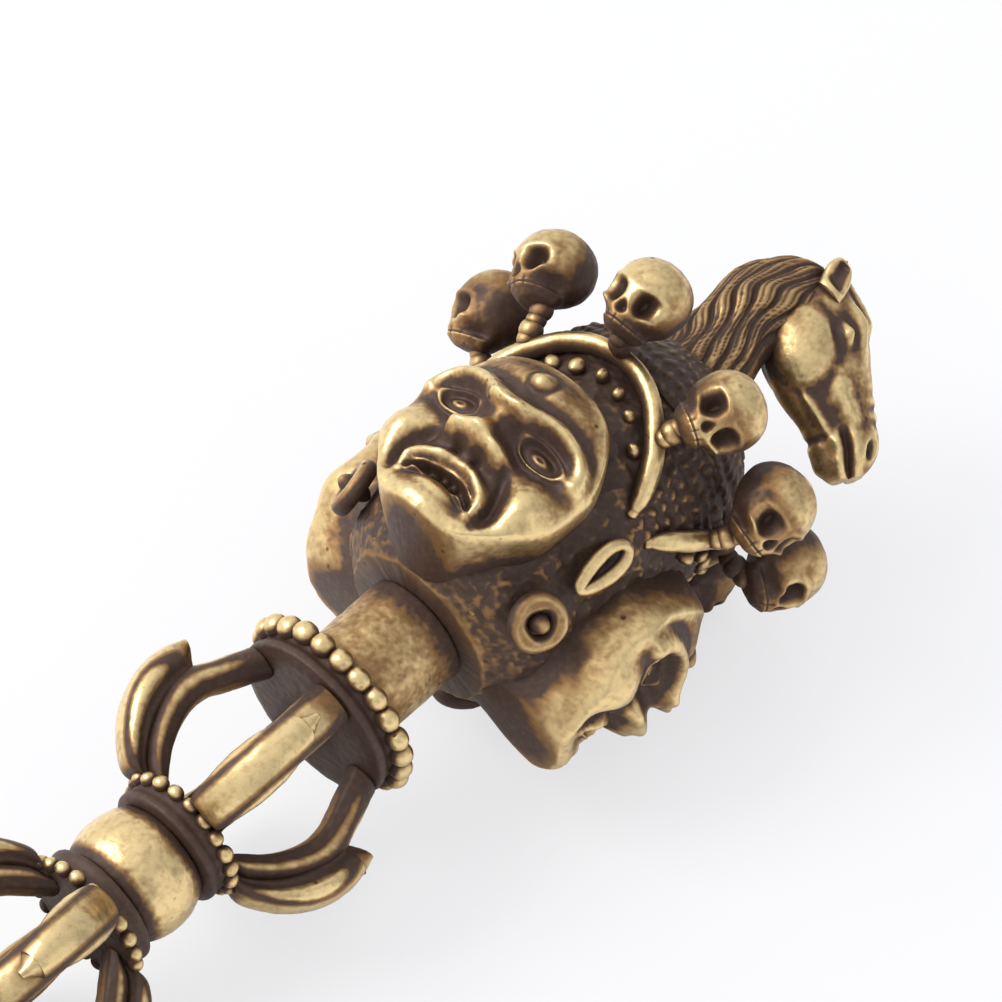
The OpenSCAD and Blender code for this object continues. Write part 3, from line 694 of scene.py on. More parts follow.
def skull():
    """Skull with its face along +X and its jaw towards -Z. Rings of front reach, back reach and
    half width are smoothed from jaw to crown, then eye sockets, nose, teeth and temples are
    pressed in along the rings' own directions."""
    rows = [[-3.0, 1.1, 0.2, 0.3], [-2.85, 1.5, 0.35, 0.85], [-2.3, 1.95, 0.7, 1.2],
            [-1.7, 2.05, 1.0, 1.32], [-1.1, 2.2, 1.65, 1.75], [-0.5, 2.2, 2.15, 1.98],
            [0.4, 2.15, 2.35, 2.14], [1.3, 1.8, 2.05, 1.85], [1.95, 1.15, 1.35, 1.2],
            [2.25, 0.35, 0.4, 0.35]]
    v = smooth(rows, np.linspace(0, 1, 110))
    h, front, back, half = (v[:, k : k + 1] for k in range(4))
    # The jaw is drawn up, so that it is shorter than its rows
    z = h + 0.3 * ramp(-0.9, -2.6, h) * (-h - 0.9)
    turn = half_turns(128)
    side = np.abs(turn)
    socket = 0.5 * np.exp(-((((side - 31) / 17) ** 2 + ((h + 0.4) / 0.62) ** 2) ** 1.7))
    brow = 0.1 * bump((side - 30) / 22, (h - 0.22) / 0.2)
    nose = 0.26 * bump(turn / (6 + 5 * ramp(-0.7, -1.3, h)), (h + 1.08) / 0.3)
    bone = 0.12 * bump((side - 52) / 13, (h + 1.05) / 0.22)
    hollow = 0.2 * bump((side - 80) / 22, (h + 1.55) / 0.45)
    temple = 0.06 * bump((side - 62) / 16, (h - 0.4) / 0.6)
    gap = 0.035 * bump((h + 2.0) / 0.1) * ramp(75, 50, side)
    teeth = 0.03 * (1 - np.abs(np.sin(np.radians(turn * 7)))) ** 2
    teeth = teeth * ramp(60, 45, side) * np.exp(-(((h + 2.02) / 0.42) ** 4))
    f = 1 - socket + brow - nose + bone - hollow - temple - gap - teeth
    c, s = np.cos(np.radians(turn)), np.sin(np.radians(turn))
    ring = np.stack([np.where(c > 0, front, back) * c * f, half * s * f, z + 0 * turn], -1)
    return skin(ring * SKULL_UNIT)


def skull_on_stalk(place_no, drift):
    """Surfaces of one skull and its beaded stalk; place_no is -1, 0 or 1 over its mask, and drift
    is how far the skull stands off its even place."""
    up = SKULL_MID_UP if place_no == 0 else SKULL_SIDE_UP
    fan, lean = math.radians(place_no * SKULL_FAN), math.radians(SKULL_LEAN)
    back = -0.3 * place_no * SKULL_FAN
    foot = off_head(np.array(float(band_h(place_no * SKULL_STEP + back))), back, BAND_R + GAP)
    centre = np.array([SKULL_RING_R, 0, Z_CROWN + up]) + drift
    upright = [math.cos(fan) * math.sin(lean), math.sin(fan), math.cos(fan) * math.cos(lean)]
    jaw = centre - (SKULL_FOOT - 0.45) * SKULL_UNIT * np.array(upright)
    start = foot + (BAND_R + STALK_BEAD_R + GAP) * unit(jaw - foot)
    beads = max(1, math.ceil(np.linalg.norm(jaw - start) / (STALK_BEAD_R * 2.1)))

    def lean_out(q):
        """Fans the skull to its side, leans it outwards and sets it in its place: two turns and
        a shift."""
        y = q[:, 1] * math.cos(fan) + q[:, 2] * math.sin(fan)
        z = q[:, 2] * math.cos(fan) - q[:, 1] * math.sin(fan)
        x = q[:, 0] * math.cos(lean) + z * math.sin(lean)
        return np.stack([x, y, z * math.cos(lean) - q[:, 0] * math.sin(lean)], -1) + centre

    parts = [moved(skull(), lean_out)]
    for b in range(beads + 1):
        size = STALK_BEAD_R * (1.35 - 0.2 * (b % 2))
        parts.append(ball(start + (jaw - start) * b / beads, size, 14, 20))
    parts.append(ball(start + (foot - start) * 0.5, STALK_BEAD_R * 1.1, 12, 18))
    return parts


def skull_wear(p):
    """A skull is darker at its back and, a little, on its jaws."""
    q = p - np.array([SKULL_RING_R, 0, Z_CROWN + 2])
    jaws = ramp(-1.2, -2.4, q[:, 2]) * ramp(-4.5, -3, q[:, 2])
    return -0.1 - 0.7 * ramp(0.6, -1.8, q[:, 0] - 0.4 * q[:, 2]) - 0.3 * jaws


def ear():
    """Ear loop: an upright oval path that faces outwards, carried by a flattened round section."""
    t = circle(160)
    c, s = np.cos(t), np.sin(t)
    wide, tall = EAR_W * 0.33, EAR_LEN / 2 - EAR_T / 2
    out_r = float(head_base(MASK_MID + EAR_LEN / 2)) + EAR_T / 2 + GAP
    z_mid = Z_HEAD + MASK_MID - 0.4
    path = np.stack([out_r + 0 * t, wide * c * (1 + 0.3 * s), tall * s + z_mid], -1)
    along = unit(np.roll(path, -1, 0) - np.roll(path, 1, 0))
    out = np.broadcast_to([1.0, 0, 0], path.shape)
    side = np.cross(along, out)
    b = circle(28)
    r = EAR_T / 2 * (1.15 + 0.15 * np.sin(2 * t + 1))[:, None]
    return [tube(path, side, out, r * np.cos(b), EAR_T / 2 * np.sin(b) + 0 * r, loop=True)]


def earring():
    """Round ring below an ear, tipped outwards at its foot, with a worn flat on its outer side
    and a stud in its middle that sits on the head."""
    t = circle(180)
    tube_r = EARRING_T / 2
    h = MASK_MID - EAR_LEN / 2 - EARRING_R - 1.3
    ring = EARRING_R - tube_r * 1.15
    out = np.stack([np.cos(t), np.sin(t), 0 * t], -1)
    b = circle(32)
    r = tube_r * (1.08 + 0.07 * np.sin(3 * t + 1))[:, None]
    flat = np.clip(r * np.sin(b), -tube_r, tube_r)
    up = np.broadcast_to([0, 0, 1.0], out.shape)
    part = tube(out * ring, out, up, r * np.cos(b), flat, loop=True)
    tip = math.radians(104)
    reach = float(head_base(h + EARRING_R * 0.6)) + tube_r + GAP

    def hang(p):
        """Tips the ring in the plane of x and z and sets it on the head: a turn and a shift."""
        x = p[:, 0] * math.cos(tip) + p[:, 2] * math.sin(tip)
        z = -p[:, 0] * math.sin(tip) + p[:, 2] * math.cos(tip)
        return np.stack([x + reach, p[:, 1], z + Z_HEAD + h], -1)

    return [moved(part, hang), moved(ball((0, 0, 0), STUD, 16, 24), hang)]


def crown():
    """Crown dome inside the skulls: a turned outline with small curls of hair on it."""
    foot = HEAD_R - 1.7
    outline = [(0, -0.06), (foot + 0.15, -0.06), (foot - 0.2, 0.25), (foot - 0.8, 0.5),
               (foot - 1.7, 0.72), (foot - 2.5, 0.86), (foot - 3.1, 1), (0, 1)]

    def hair(a, r, z):
        """Curls that fade towards the middle, on low swells of noise."""
        points = np.stack([r * np.cos(a), r * np.sin(a), z + 0 * a], -1)
        swells = rough(points, (1.1, 0.55), (0.12, 0.06), 5)
        return 0.2 * ramp(2, 4, r) * curls(a, z - Z_HEAD, CURL_R) + swells

    profile = [(r, Z_CROWN + h * CROWN_H) for r, h in outline]
    return [lathe(profile, around=310, step=0.12, press=hair)]


def carried(keys, stations, points, press=None):
    """Section carried along rows of place, height, lean in degrees, half depth and half width.
    press(rows, turn) is added to the section's radius, turn being 0 in front and 180 behind."""
    v = smooth(keys, np.linspace(0, 1, stations))
    turn = half_turns(points)
    d = press(v, turn) if press else 0.0
    lean = np.radians(v[:, 2:3])
    depth = (v[:, 3:4] + d) * np.cos(np.radians(turn))
    x, z = v[:, :1] + depth * np.cos(lean), v[:, 1:2] - depth * np.sin(lean)
    return skin(np.stack([x, (v[:, 4:5] + d) * np.sin(np.radians(turn)), z], -1))


def horse_place(p):
    """Points of the horse, given over its foot with its face along +X, in the dagger's frame."""
    return turned(p, HORSE_TURN) + np.array([0, 0, Z_HORSE])


def horse_neck():
    """Neck with a combed mane: wavy locks run from the crest down both sides, and the throat
    stays smooth. Each lock is a rounded rib with finer hairs on it."""
    keys = [[-0.2, 0, 0, 3.2, 2.8], [-0.4, 1.8, 3, 2.8, 2.5], [-0.5, 3.4, 9, 2.8, 2.3],
            [-0.9, 6.05, 23, 2.85, 2.2], [0.2, 8.95, 35, 2.6, 2.0], [0.9, 10.7, 38, 1.6, 1.2]]

    def mane(v, turn):
        """Ribs along slanted wavy lines, three hairs to a rib, and a groove where the mane
        starts."""
        side, h = np.abs(turn), v[:, 1:2]
        on = ramp(52, 66, side) * ramp(0.1, 0.8, h)
        wave = 0.2 * np.sin(h * 0.6 + side * 0.05) + 0.1 * np.sin(side * 0.13 + 1.3 * h)
        phase = side / 23 - 0.3 * h + wave
        lock = np.abs(np.sin(phase * math.pi)) ** 0.8
        hair = np.abs(np.sin(phase * math.pi * 3 + 0.6 * np.sin(h * 1.4)))
        deep = 0.3 + 0.14 * np.sin(h * 1.1 + side * 0.07)
        return on * (deep * lock + 0.1 * hair - 0.26) - 0.2 * bump((side - 50) / 6)

    return [moved(carried(keys, 210, 176, mane), horse_place)]


def horse_face():
    """Horse's head: eyes under brows, cheeks, a straight nose with nostrils, a mouth line and a
    forelock, all pressed into a section carried from the poll to the muzzle."""
    keys = [[-0.6, 0.9, 90, 1.4, 1.3], [1, -0.1, 90, 2.9, 2.1], [3, -0.15, 90, 3.3, 2.45],
            [5, -0.2, 90, 3.15, 2.35], [6.6, 0.0, 90, 2.75, 1.9], [8, 0.3, 90, 2.35, 1.55],
            [9.6, 0.3, 90, 2.15, 1.55], [10.7, 0.1, 90, 1.75, 1.35], [11.4, 0.1, 90, 0.85, 0.8]]

    def features(v, turn):
        """Sum of hills, hollows and ridges, each at its place u along the face and at its angle
        round the section."""
        u, side = v[:, :1], np.abs(turn)
        arc = (v[:, 3:4] + v[:, 4:5]) / 2 * math.pi / 180
        ex, ey = u - 3.1, (side - 117) * arc
        d = -0.5 * bump(ex / 1.25, ey / 0.95)
        d = d + 0.75 * bump(ex / 0.62, ey / 0.4)
        d = d + 0.45 * bump((u - 2.5) / 1.4, (side - 140) * arc / 0.45)
        # Cheek plate with a hard back edge, and the crest from the eye to the nose
        plate = np.hypot((u - 3.3) / 2.2, (side - 58) * arc / 1.75)
        d = d + 0.3 * ramp(1.4, 0.2, plate) + 0.05 * ramp(1.15, 0.9, plate)
        d = d - 0.12 * bump((plate - 1.3) / 0.25)
        d = d + ridge(u, (side - 98) * arc, [(5.4, -0.1), (7.0, -0.2), (8.9, 0.1)], 0.55, 0.34)
        d = d + ridge(u, (side - 46) * arc, [(6.0, 0.0), (7.4, 0.1), (9.0, 0.3)], 0.3, 0.22)
        # Nostrils, mouth and lips
        nx, ny = u - 10.0, (side - 126) * arc
        d = d + 0.25 * bump(nx / 0.95, ny / 0.7) - 0.7 * bump(nx / 0.45, ny / 0.28)
        lip = (side - 82 - 2 * (u - 10)) * arc
        lips = 0.2 * bump((np.abs(lip) - 0.45) / 0.35) - 0.5 * bump(lip / 0.22)
        d = d + ramp(8.3, 9.3, u) * lips
        d = d - 0.16 * bump((u - 8.9) / 0.3, (side - 20) * arc / 1.2)
        # Forelock between the ears, and folds over the nose
        on = ramp(150, 164, side) * ramp(3.6, 2.2, u)
        d = d + on * (0.3 + 0.16 * np.abs(np.sin(turn * 0.25 + u)))
        d = d + 0.07 * np.sin(u * 6.5) * bump((u - 7.6) / 1.2, (side - 160) / 30)
        return d

    nod = math.radians(HORSE_NOD - 90)

    def onto_poll(p):
        """Nods the face in the plane of x and z and sets it on the neck: a turn and a shift."""
        x = p[:, 0] * math.cos(nod) + p[:, 2] * math.sin(nod) + HORSE_POLL[0]
        z = -p[:, 0] * math.sin(nod) + p[:, 2] * math.cos(nod) + HORSE_POLL[1]
        return horse_place(np.stack([x, p[:, 1], z], -1))

    return [moved(carried(keys, 236, 200, features), onto_poll)]


def horse_ears():
    """Two short pricked ears: tapering sections, cupped on their front."""
    s = np.linspace(0, 1, 60)[:, None]
    a = circle(60)
    parts = []
    for side in (-1, 1):
        leaf = np.sqrt(np.clip(1 - (1.75 * s - 0.75) ** 2 * ramp(0.2, 0.6, s), 0, 1))
        wide = 0.98 * leaf * ramp(1, 0.9, s) + 0.05
        x = 1.15 - 0.75 * s + wide * 0.95 * np.cos(a)
        hollow = 0.55 * bump(np.cos(a) / 0.62) * ramp(0.12, 0.35, s) * ramp(1.0, 0.8, s)
        y = side * (1.5 + 0.25 * s + wide * 0.62 * np.sin(a) - hollow * (np.sin(a) > 0))
        z = 10.2 + 2.3 * s + 0 * a
        parts.append(moved(skin(np.stack([x, y, z], -1)), horse_place))
    return parts


def boss():
    """Boss: a turned foot, waist and rim, with lotus petals pressed round the rim."""
    low = Z_BOSS - BOSS_LEN
    outline = [(0, 0), (BOSS_R - 0.2, 0), (BOSS_R + 0.5, 0.03), (BOSS_R + 0.5, 0.09),
               (BOSS_R, 0.13), (BOSS_R, 0.76), (RIM_COLLAR_R, 0.84), (RIM_COLLAR_R, 0.92),
               (RIM_COLLAR_R - 0.5, 1), (0, 1)]

    def petals(a, r, z):
        """Twelve flattened arches side by side in a belt: the absolute sine of six waves."""
        t = (z - low) / BOSS_LEN
        arch = np.minimum(np.abs(np.sin(a * 6)) * 1.6, 1)
        return (0.16 * arch - 0.14) * ramp(0.78, 0.83, t) * ramp(0.985, 0.95, t) * ramp(3, 4, r)

    profile = [(r, low + h * BOSS_LEN) for r, h in outline]
    return [lathe(profile, around=250, step=0.14, press=petals)]


def beast_jaws():
    """Upper jaw with a scaled brow and a snout that curls towards the grip, and a lower jaw."""
    w = BEAST_W
    upper = [[BOSS_R - 1.4, -4.6, 90, 2.6, w * 0.6], [BOSS_R + 0.8, -4.7, 90, 2.7, w * 0.75],
             [BEAST_R - BEAST_BROW, -5.2, 85, 2.2, w], [BEAST_R - 0.7, -5.9, 60, 1.4, w * 0.72],
             [BEAST_R - 0.2, -5, 15, 0.9, w * 0.45], [BEAST_R - 0.5, -3.8, -20, 0.5, w * 0.25]]
    lower = [[BOSS_R - 1.4, -8, 90, 1.3, w * 0.5], [BOSS_R + 1, -8.3, 95, 1.15, w * 0.5],
             [BOSS_R + 2.4, -8.6, 100, 0.8, w * 0.42], [BOSS_R + 3.2, -8.8, 105, 0.35, w * 0.25]]

    def scales(v, turn):
        """Diamond scales over the brow: the product of two slanted sines."""
        on = ramp(60, 85, np.abs(turn)) * ramp(BEAST_R - 0.5, BEAST_R - 1.8, v[:, :1])
        u, t = v[:, :1] * 1.9, turn / 14
        net = np.abs(np.sin((u + t) * math.pi / 2) * np.sin((u - t) * math.pi / 2))
        return on * (0.16 * net**0.6 - 0.14)

    return [carried(upper, 120, 110, scales), carried(lower, 60, 60)]


def beast_eye(side):
    """Round eye on one side, and the lid round it: a ring with a round section."""
    eye = np.array([BOSS_R + 2.3, side * BEAST_W * 0.52, -3.5])
    t, b = circle(60)[:, None], circle(14)
    ring = np.hstack([0.78 * np.cos(t), 0 * t, 0.7 * np.sin(t)])
    across = np.broadcast_to([0, 1.0, 0], ring.shape)
    lid = tube(ring + eye + np.array([0, side * 0.32, 0]), unit(ring), across,
               0.2 * np.cos(b) + 0 * t, 0.2 * np.sin(b) + 0 * t, loop=True)
    return [ball(eye, 0.72, 18, 26), lid]


def beast_fin(side):
    """Curled fin behind one cheek: a spiral of falling radius with a thinning round section."""
    s = np.linspace(0, 1, 90)
    curl, reach = np.radians(40 + 500 * s), 1.5 * (1 - 0.8 * s)
    spiral = np.stack([BOSS_R + 1.0 + reach * np.cos(curl), side * (BEAST_W * 0.66 - 0.4 * s),
                       -6.1 + reach * np.sin(curl)], -1)
    along = unit(np.gradient(spiral, axis=0))
    over = np.broadcast_to([0, 1.0, 0], spiral.shape)
    thick, b = (0.42 * (1 - 0.55 * s))[:, None], circle(14)
    return tube(spiral, np.cross(along, over), over, thick * np.cos(b), thick * np.sin(b))


def beast_teeth(side):
    """Four pairs of teeth along one side: round spikes that hang from the upper jaw and stand on
    the lower one."""
    s, c = np.linspace(0, 1, 10)[:, None], circle(12)
    r = 0.28 * np.sqrt(1 - 0.98 * s)
    teeth = []
    for k in range(4):
        x, y = BOSS_R + 1.3 + 0.75 * k, side * BEAST_W * (0.5 - 0.03 * k)
        for z, rise in ((-6.6, -0.9), (-7.6, 0.75)):
            rings = [x + r * np.cos(c), y + r * np.sin(c), z + rise * s + 0 * c]
            teeth.append(skin(np.stack(rings, -1)))
    return teeth


def beast():
    """Sea-beast head: its jaws, and on either side an eye, a curled fin and teeth."""
    parts = beast_jaws()
    for side in (-1, 1):
        parts += [*beast_eye(side), beast_fin(side), *beast_teeth(side)]
    return [moved(part, lambda p: p + np.array([0, 0, Z_BOSS])) for part in parts]


def blade():
    """Three-edged blade: every ring runs edge, hollow, edge. Between an edge and the valley the
    line sags a little inwards, and each edge is rounded and nicked by wear."""
    shoulder = np.linspace(0, 0.1, 24, endpoint=False)
    s = np.concatenate([shoulder, np.linspace(0.1, 0.985, 216), [0.993, 1.0]])[:, None]
    edge = np.interp(s, [0, 0.1, 1], [BLADE_R - 0.7, BLADE_R, 0.3])
    valley = np.interp(s, [0, 0.1, 1], [BLADE_T * 0.62, BLADE_T * 0.62, 0.25])
    edge = edge * (1 + 0.006 * np.sin(s * 160) * np.sin(s * 37))
    half = np.minimum(0.26, valley * 0.8)
    flank = np.linspace(0, 1, 26)
    x, y = [], []
    for k in range(MASKS):
        middle = math.radians((k + 0.5) * MASK_TURN)
        for at, turn, along in ((k, 1, flank[:-1]), (k + 1, -1, flank[:0:-1])):
            a = math.radians(at * MASK_TURN)
            out, side, low = edge * (1 - along), turn * half * (1 - along), valley * along
            sag = 1 - 0.16 * np.sin(along * math.pi) * ramp(1, 0.8, s)
            x.append(sag * (out * math.cos(a) - side * math.sin(a) + low * math.cos(middle)))
            y.append(sag * (out * math.sin(a) + side * math.cos(a) + low * math.sin(middle)))
    x, y = np.hstack(x), np.hstack(y)
    return [skin(np.stack([x, y, Z_BLADE - BLADE_LEN * s + 0 * x], -1))]


class Level:
    """A number inside a material. Python's operators on it add Math nodes."""

    def __init__(self, tree, socket):
        self.tree, self.socket = tree, socket

    def combine(self, operation, first, second):
        """Result of a Math node on two values, each a number or a Level."""
        return add_node(self.tree, "ShaderNodeMath", {"operation": operation},
                        {0: first, 1: second})

    def __add__(self, other):
        return self.combine("ADD", self, other)

    def __sub__(self, other):
        return self.combine("SUBTRACT", self, other)

    def __rsub__(self, other):
        return self.combine("SUBTRACT", other, self)

    def __mul__(self, other):
        return self.combine("MULTIPLY", self, other)

    __radd__ = __add__
    __rmul__ = __mul__

    def share(self, low, high):
        """Smooth share of the way from low to high, from 0 to 1."""
        settings = {"interpolation_type": "SMOOTHSTEP", "clamp": True}
        return add_node(self.tree, "ShaderNodeMapRange", settings,
                        {"Value": self, "From Min": low, "From Max": high})


def add_node(tree, kind, settings, inputs, output=0):
    """Adds a node: its settings first, then the values or links of its sockets."""
    node = tree.nodes.new(kind)
    for name, value in settings.items():
        setattr(node, name, value)
    for name, value in inputs.items():
        if isinstance(value, Level):
            tree.links.new(value.socket, node.inputs[name])
        else:
            node.inputs[name].default_value = value
    return Level(tree, node.outputs[output])


def colour_mix(tree, factor, a, b):
    """Colour a where the factor is 0, and b where it is 1."""
    return add_node(tree, "ShaderNodeMix", {"data_type": "RGBA"}, {0: factor, 6: a, 7: b}, 2)


def cast_brass(name, tone, shift, gloss):
    """Aged cast brass. Its patina lies in the hollows and is rubbed off the high places: the
    wear_and_shade attribute, clouds of noise and the nearness of other surfaces choose between
    dark, middle and bright brass, and the bright places are smoother. The darkening by nearness,
    the table's included, is partly patina in the hollows and partly painted shade."""
    look = bpy.context.scene.dagger_finish
    patina, brass, bright = ([c * tone for c in paint] + [1]
                             for paint in (look.patina, look.brass, look.bright))
    stain = [c * 0.5 for c in look.brass] + [1]
    material = bpy.data.materials.new(name)
    material.use_nodes = True
    tree = material.node_tree
    shader = tree.nodes["Principled BSDF"]
    where = add_node(tree, "ShaderNodeTexCoord", {}, {}, 3)

    def speckle(scale, detail):
        """Noise over the piece, in blotches of about a metre / scale."""
        return add_node(tree, "ShaderNodeTexNoise", {},
                        {"Vector": where, "Scale": scale, "Detail": detail})

    def open_space(distance):
        """Share of the directions that meet no surface within a distance in metres."""
        return add_node(tree, "ShaderNodeAmbientOcclusion", {"samples": 10},
                        {"Distance": distance}, 1)

    wear_and_shade = add_node(tree, "ShaderNodeAttribute", {"attribute_name": "wear_and_shade"}, {}, 2)
    cloud, grain, fine = speckle(330.0, 4.0), speckle(2300.0, 4.0), speckle(8200.0, 2.0)
    cells = add_node(tree, "ShaderNodeTexVoronoi", {}, {"Vector": where, "Scale": 950.0})
    near, far = open_space(0.0011), open_space(0.0045)
    pit = (1 - cells.share(0.05, 0.2)) * cloud.share(0.52, 0.64)
    bare_and_unshaded = wear_and_shade + (cloud - 0.5) * 0.5 + (grain - 0.5) * 0.22
    # less open space near other surfaces and the table darkens the brass: partly patina in the
    # hollows, partly painted shade
    bare_and_unshaded = bare_and_unshaded - (1 - near) * 0.9 - (1 - far) * 0.7 - pit * 0.5 + (shift + look.polish)
    rubbed = bare_and_unshaded.share(0.45, 1.0)
    colour = colour_mix(tree, bare_and_unshaded.share(0.18, 0.5), patina, brass)
    colour = colour_mix(tree, rubbed, colour, bright)
    colour = colour_mix(tree, (1 - grain.share(0.3, 0.55)) * 0.2, colour, stain)
    metal = 0.25 + bare_and_unshaded.share(0.15, 0.55) * 0.75
    dull = 0.54 - rubbed * gloss + (grain - 0.5) * 0.14
    height = grain * 0.6 + fine * 0.25 - pit + cloud * 0.3
    bumps = add_node(tree, "ShaderNodeBump", {},
                     {"Height": height, "Strength": 0.6, "Distance": 0.00006})
    sockets = {"Base Color": colour, "Metallic": metal, "Roughness": dull, "Normal": bumps}
    for socket, level in sockets.items():
        tree.links.new(level.socket, shader.inputs[socket])
    return material


def coat(finish):
    """The brass of a finish, made once."""
    name = finish + " brass"
    return bpy.data.materials.get(name) or cast_brass(name, *FINISHES[finish][1:])


def cast_piece(nodes, parts, finish="aged", name=None, turn=0.0, grain=1.0, rub=1.0, shift=0.0):
    """One cast piece in the place of its solid, in one of the finishes, from surfaces in the
    dagger's millimetres that are then turned round the axis. Its points are shifted a few
    hundredths along their normals, as a cast skin is. shift is added to its wear_and_shade values:
    a number, or a function of the points before their turn. For masks and prongs it holds painted
    shadow."""
    name = name or "cast_" + nodes[0]
    verts, quads, tris = join(parts)
    verts = turned(verts, turn)
    up = normals(verts, quads, tris)
    unevenness = rough(verts, (1.6, 0.5, 0.22), (0.03, 0.018, 0.009), len(name))
    verts = verts + up * (unevenness * grain)[:, None]
    wear_and_shade = worn(verts, quads, tris, up, rub)
    wear_and_shade = wear_and_shade + (shift(turned(verts, -turn)) if callable(shift) else shift)
    mesh = add_mesh(name, verts, quads, tris, wear_and_shade)
    mesh.materials.append(coat(finish))
    piece = bpy.data.objects.new(name, mesh)
    bpy.context.scene.collection.objects.link(piece)
    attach(piece, "root")
    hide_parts(*nodes)


def table_paper(colour):
    """Pale mottled paper. Part of its white comes from itself, where the camera sees it straight
    or through glass."""
    paper = bpy.data.materials.new("pale table")
    paper.use_nodes = True
    tree = paper.node_tree
    shader = tree.nodes["Principled BSDF"]
    where = add_node(tree, "ShaderNodeTexCoord", {}, {}, 3)
    mottle = add_node(tree, "ShaderNodeTexNoise", {},
                      {"Vector": where, "Scale": 60.0, "Detail": 3.0})
    pale, dull = [*colour, 1], [c * 0.96 for c in colour] + [1]
    tint = colour_mix(tree, mottle.share(0.3, 0.7) * 0.04, pale, dull)
    tree.links.new(tint.socket, shader.inputs["Base Color"])
    shader.inputs["Roughness"].default_value = 0.85
    straight, through = (add_node(tree, "ShaderNodeLightPath", {}, {}, k) for k in (0, 6))
    seen = straight.combine("MAXIMUM", straight, through)
    lit = Level(tree, shader.outputs[0])
    glow = add_node(tree, "ShaderNodeEmission", {}, {"Color": [0.94, 0.94, 0.955, 1]})
    mixed = add_node(tree, "ShaderNodeMixShader", {}, {0: seen * 0.72, 1: lit, 2: glow})
    tree.links.new(mixed.socket, tree.nodes["Material Output"].inputs["Surface"])
    return paper


def room(window, strength):
    """World of pale walls that are brighter towards the window."""
    world = bpy.data.worlds.new("room")
    world.use_nodes = True
    tree = world.node_tree
    where = add_node(tree, "ShaderNodeTexCoord", {}, {})
    facing = add_node(tree, "ShaderNodeVectorMath", {"operation": "DOT_PRODUCT"},
                      {0: where, 1: window.tolist()}, 1)
    dim, light = [0.6, 0.62, 0.66, 1], [1.2, 1.22, 1.25, 1]
    wall = colour_mix(tree, facing.share(-0.5, 0.9), dim, light)
    background = tree.nodes["Background"]
    tree.links.new(wall.socket, background.inputs["Color"])
    background.inputs["Strength"].default_value = strength
    return world


def add_lamp(name, aim, toward, distance, size, power, colour):
    """Square lamp at a distance from the aim, on the side given by toward, that faces the aim."""
    data = bpy.data.lights.new(name, "AREA")
    data.size, data.energy, data.color = size, power, colour
    light = bpy.data.objects.new(name, data)
    bpy.context.scene.collection.objects.link(light)
    toward = Vector(toward).normalized()
    light.location = Vector(aim) + toward * distance
    light.rotation_euler = toward.to_track_quat("Z", "Y").to_euler()


def add_camera(aim, right, up, view, reach, field):
    """Camera that looks at the aim against view, from the distance reach, and shows a width of
    field there: the lens is the sensor's width times reach / field."""
    camera = bpy.data.objects.new("camera", bpy.data.cameras.new("camera"))
    bpy.context.scene.collection.objects.link(camera)
    camera.data.sensor_width = 36
    camera.data.lens = 36 * reach / field
    camera.data.clip_start = 0.01
    turn = Matrix([right, up, view]).transposed().to_4x4()
    camera.matrix_world = Matrix.Translation(Vector(aim + view * reach)) @ turn
    bpy.context.scene.camera = camera


class DaggerFinish(bpy.types.PropertyGroup):
    """Colours and polish of the brass."""

    patina: bpy.props.FloatVectorProperty(
        name="Patina", description="Colour in the hollows",
        subtype="COLOR", default=(0.064, 0.033, 0.022), min=0, max=1)
    brass: bpy.props.FloatVectorProperty(
        name="Brass", description="Colour of the aged surface",
        subtype="COLOR", default=(0.33, 0.187, 0.08), min=0, max=1)
    bright: bpy.props.FloatVectorProperty(
        name="Bright brass", description="Colour of the rubbed high places",
        subtype="COLOR", default=(0.83, 0.625, 0.31), min=0, max=1)
    polish: bpy.props.FloatProperty(
        name="Polish", description="How far the patina is rubbed off everywhere",
        subtype="FACTOR", default=0.0, min=-0.5, max=0.5)


class DaggerStudio(bpy.types.PropertyGroup):
    """Table, lamps and camera."""

    floor: bpy.props.FloatVectorProperty(
        name="Table", description="Colour of the table",
        subtype="COLOR", default=(0.93, 0.93, 0.945), min=0, max=1)
    key: bpy.props.FloatProperty(
        name="Window light", description="Power of the large lamp",
        subtype="POWER", default=1.4, min=0)
    sky: bpy.props.FloatProperty(
        name="Room light", description="Strength of the light from all round",
        default=0.88, min=0)
    reach: bpy.props.FloatProperty(
        name="Camera distance", description="From the lens to the grip",
        default=0.4, min=0.1, unit="LENGTH")
    field: bpy.props.FloatProperty(
        name="View width", description="Width of the picture at the grip",
        default=0.0557, min=0.01, unit="LENGTH")


class DAGGER_OT_rod(bpy.types.Operator):
    """Makes the rod that threads the castings."""

    bl_idname = "dagger.rod"
    bl_label = "Rod"

    def execute(self, context):
        low, high = Z_BOSS - 7, Z_HEAD + 7 - GAP
        rod = lathe([(0, low), (ROD_R, low), (ROD_R, high), (0, high)], 64, 0.3)
        cast_piece(["core_rod"], [rod], "dark")
        return {"FINISHED"}


class DAGGER_OT_knob(bpy.types.Operator):
    """Makes the round knob in the middle of the grip, worn smooth by the hand."""

    bl_idname = "dagger.knob"
    bl_label = "Knob"

    def execute(self, context):
        end = math.asin(KNOB_HALF / KNOB_R)
        arc = [(KNOB_R * math.cos(t), KNOB_R * math.sin(t)) for t in np.linspace(-end, end, 40)]
        knob = lathe([(0, -KNOB_HALF), *arc, (0, KNOB_HALF)], 210, 0.08)

        def by_collars(p):
            """The knob is darker towards the collars, by a smooth step."""
            return -0.04 - 0.7 * ramp(1.2, 2.1, np.abs(p[:, 2]))

        cast_piece(["knob"], [knob], "rubbed", grain=1.3, shift=by_collars)
        return {"FINISHED"}


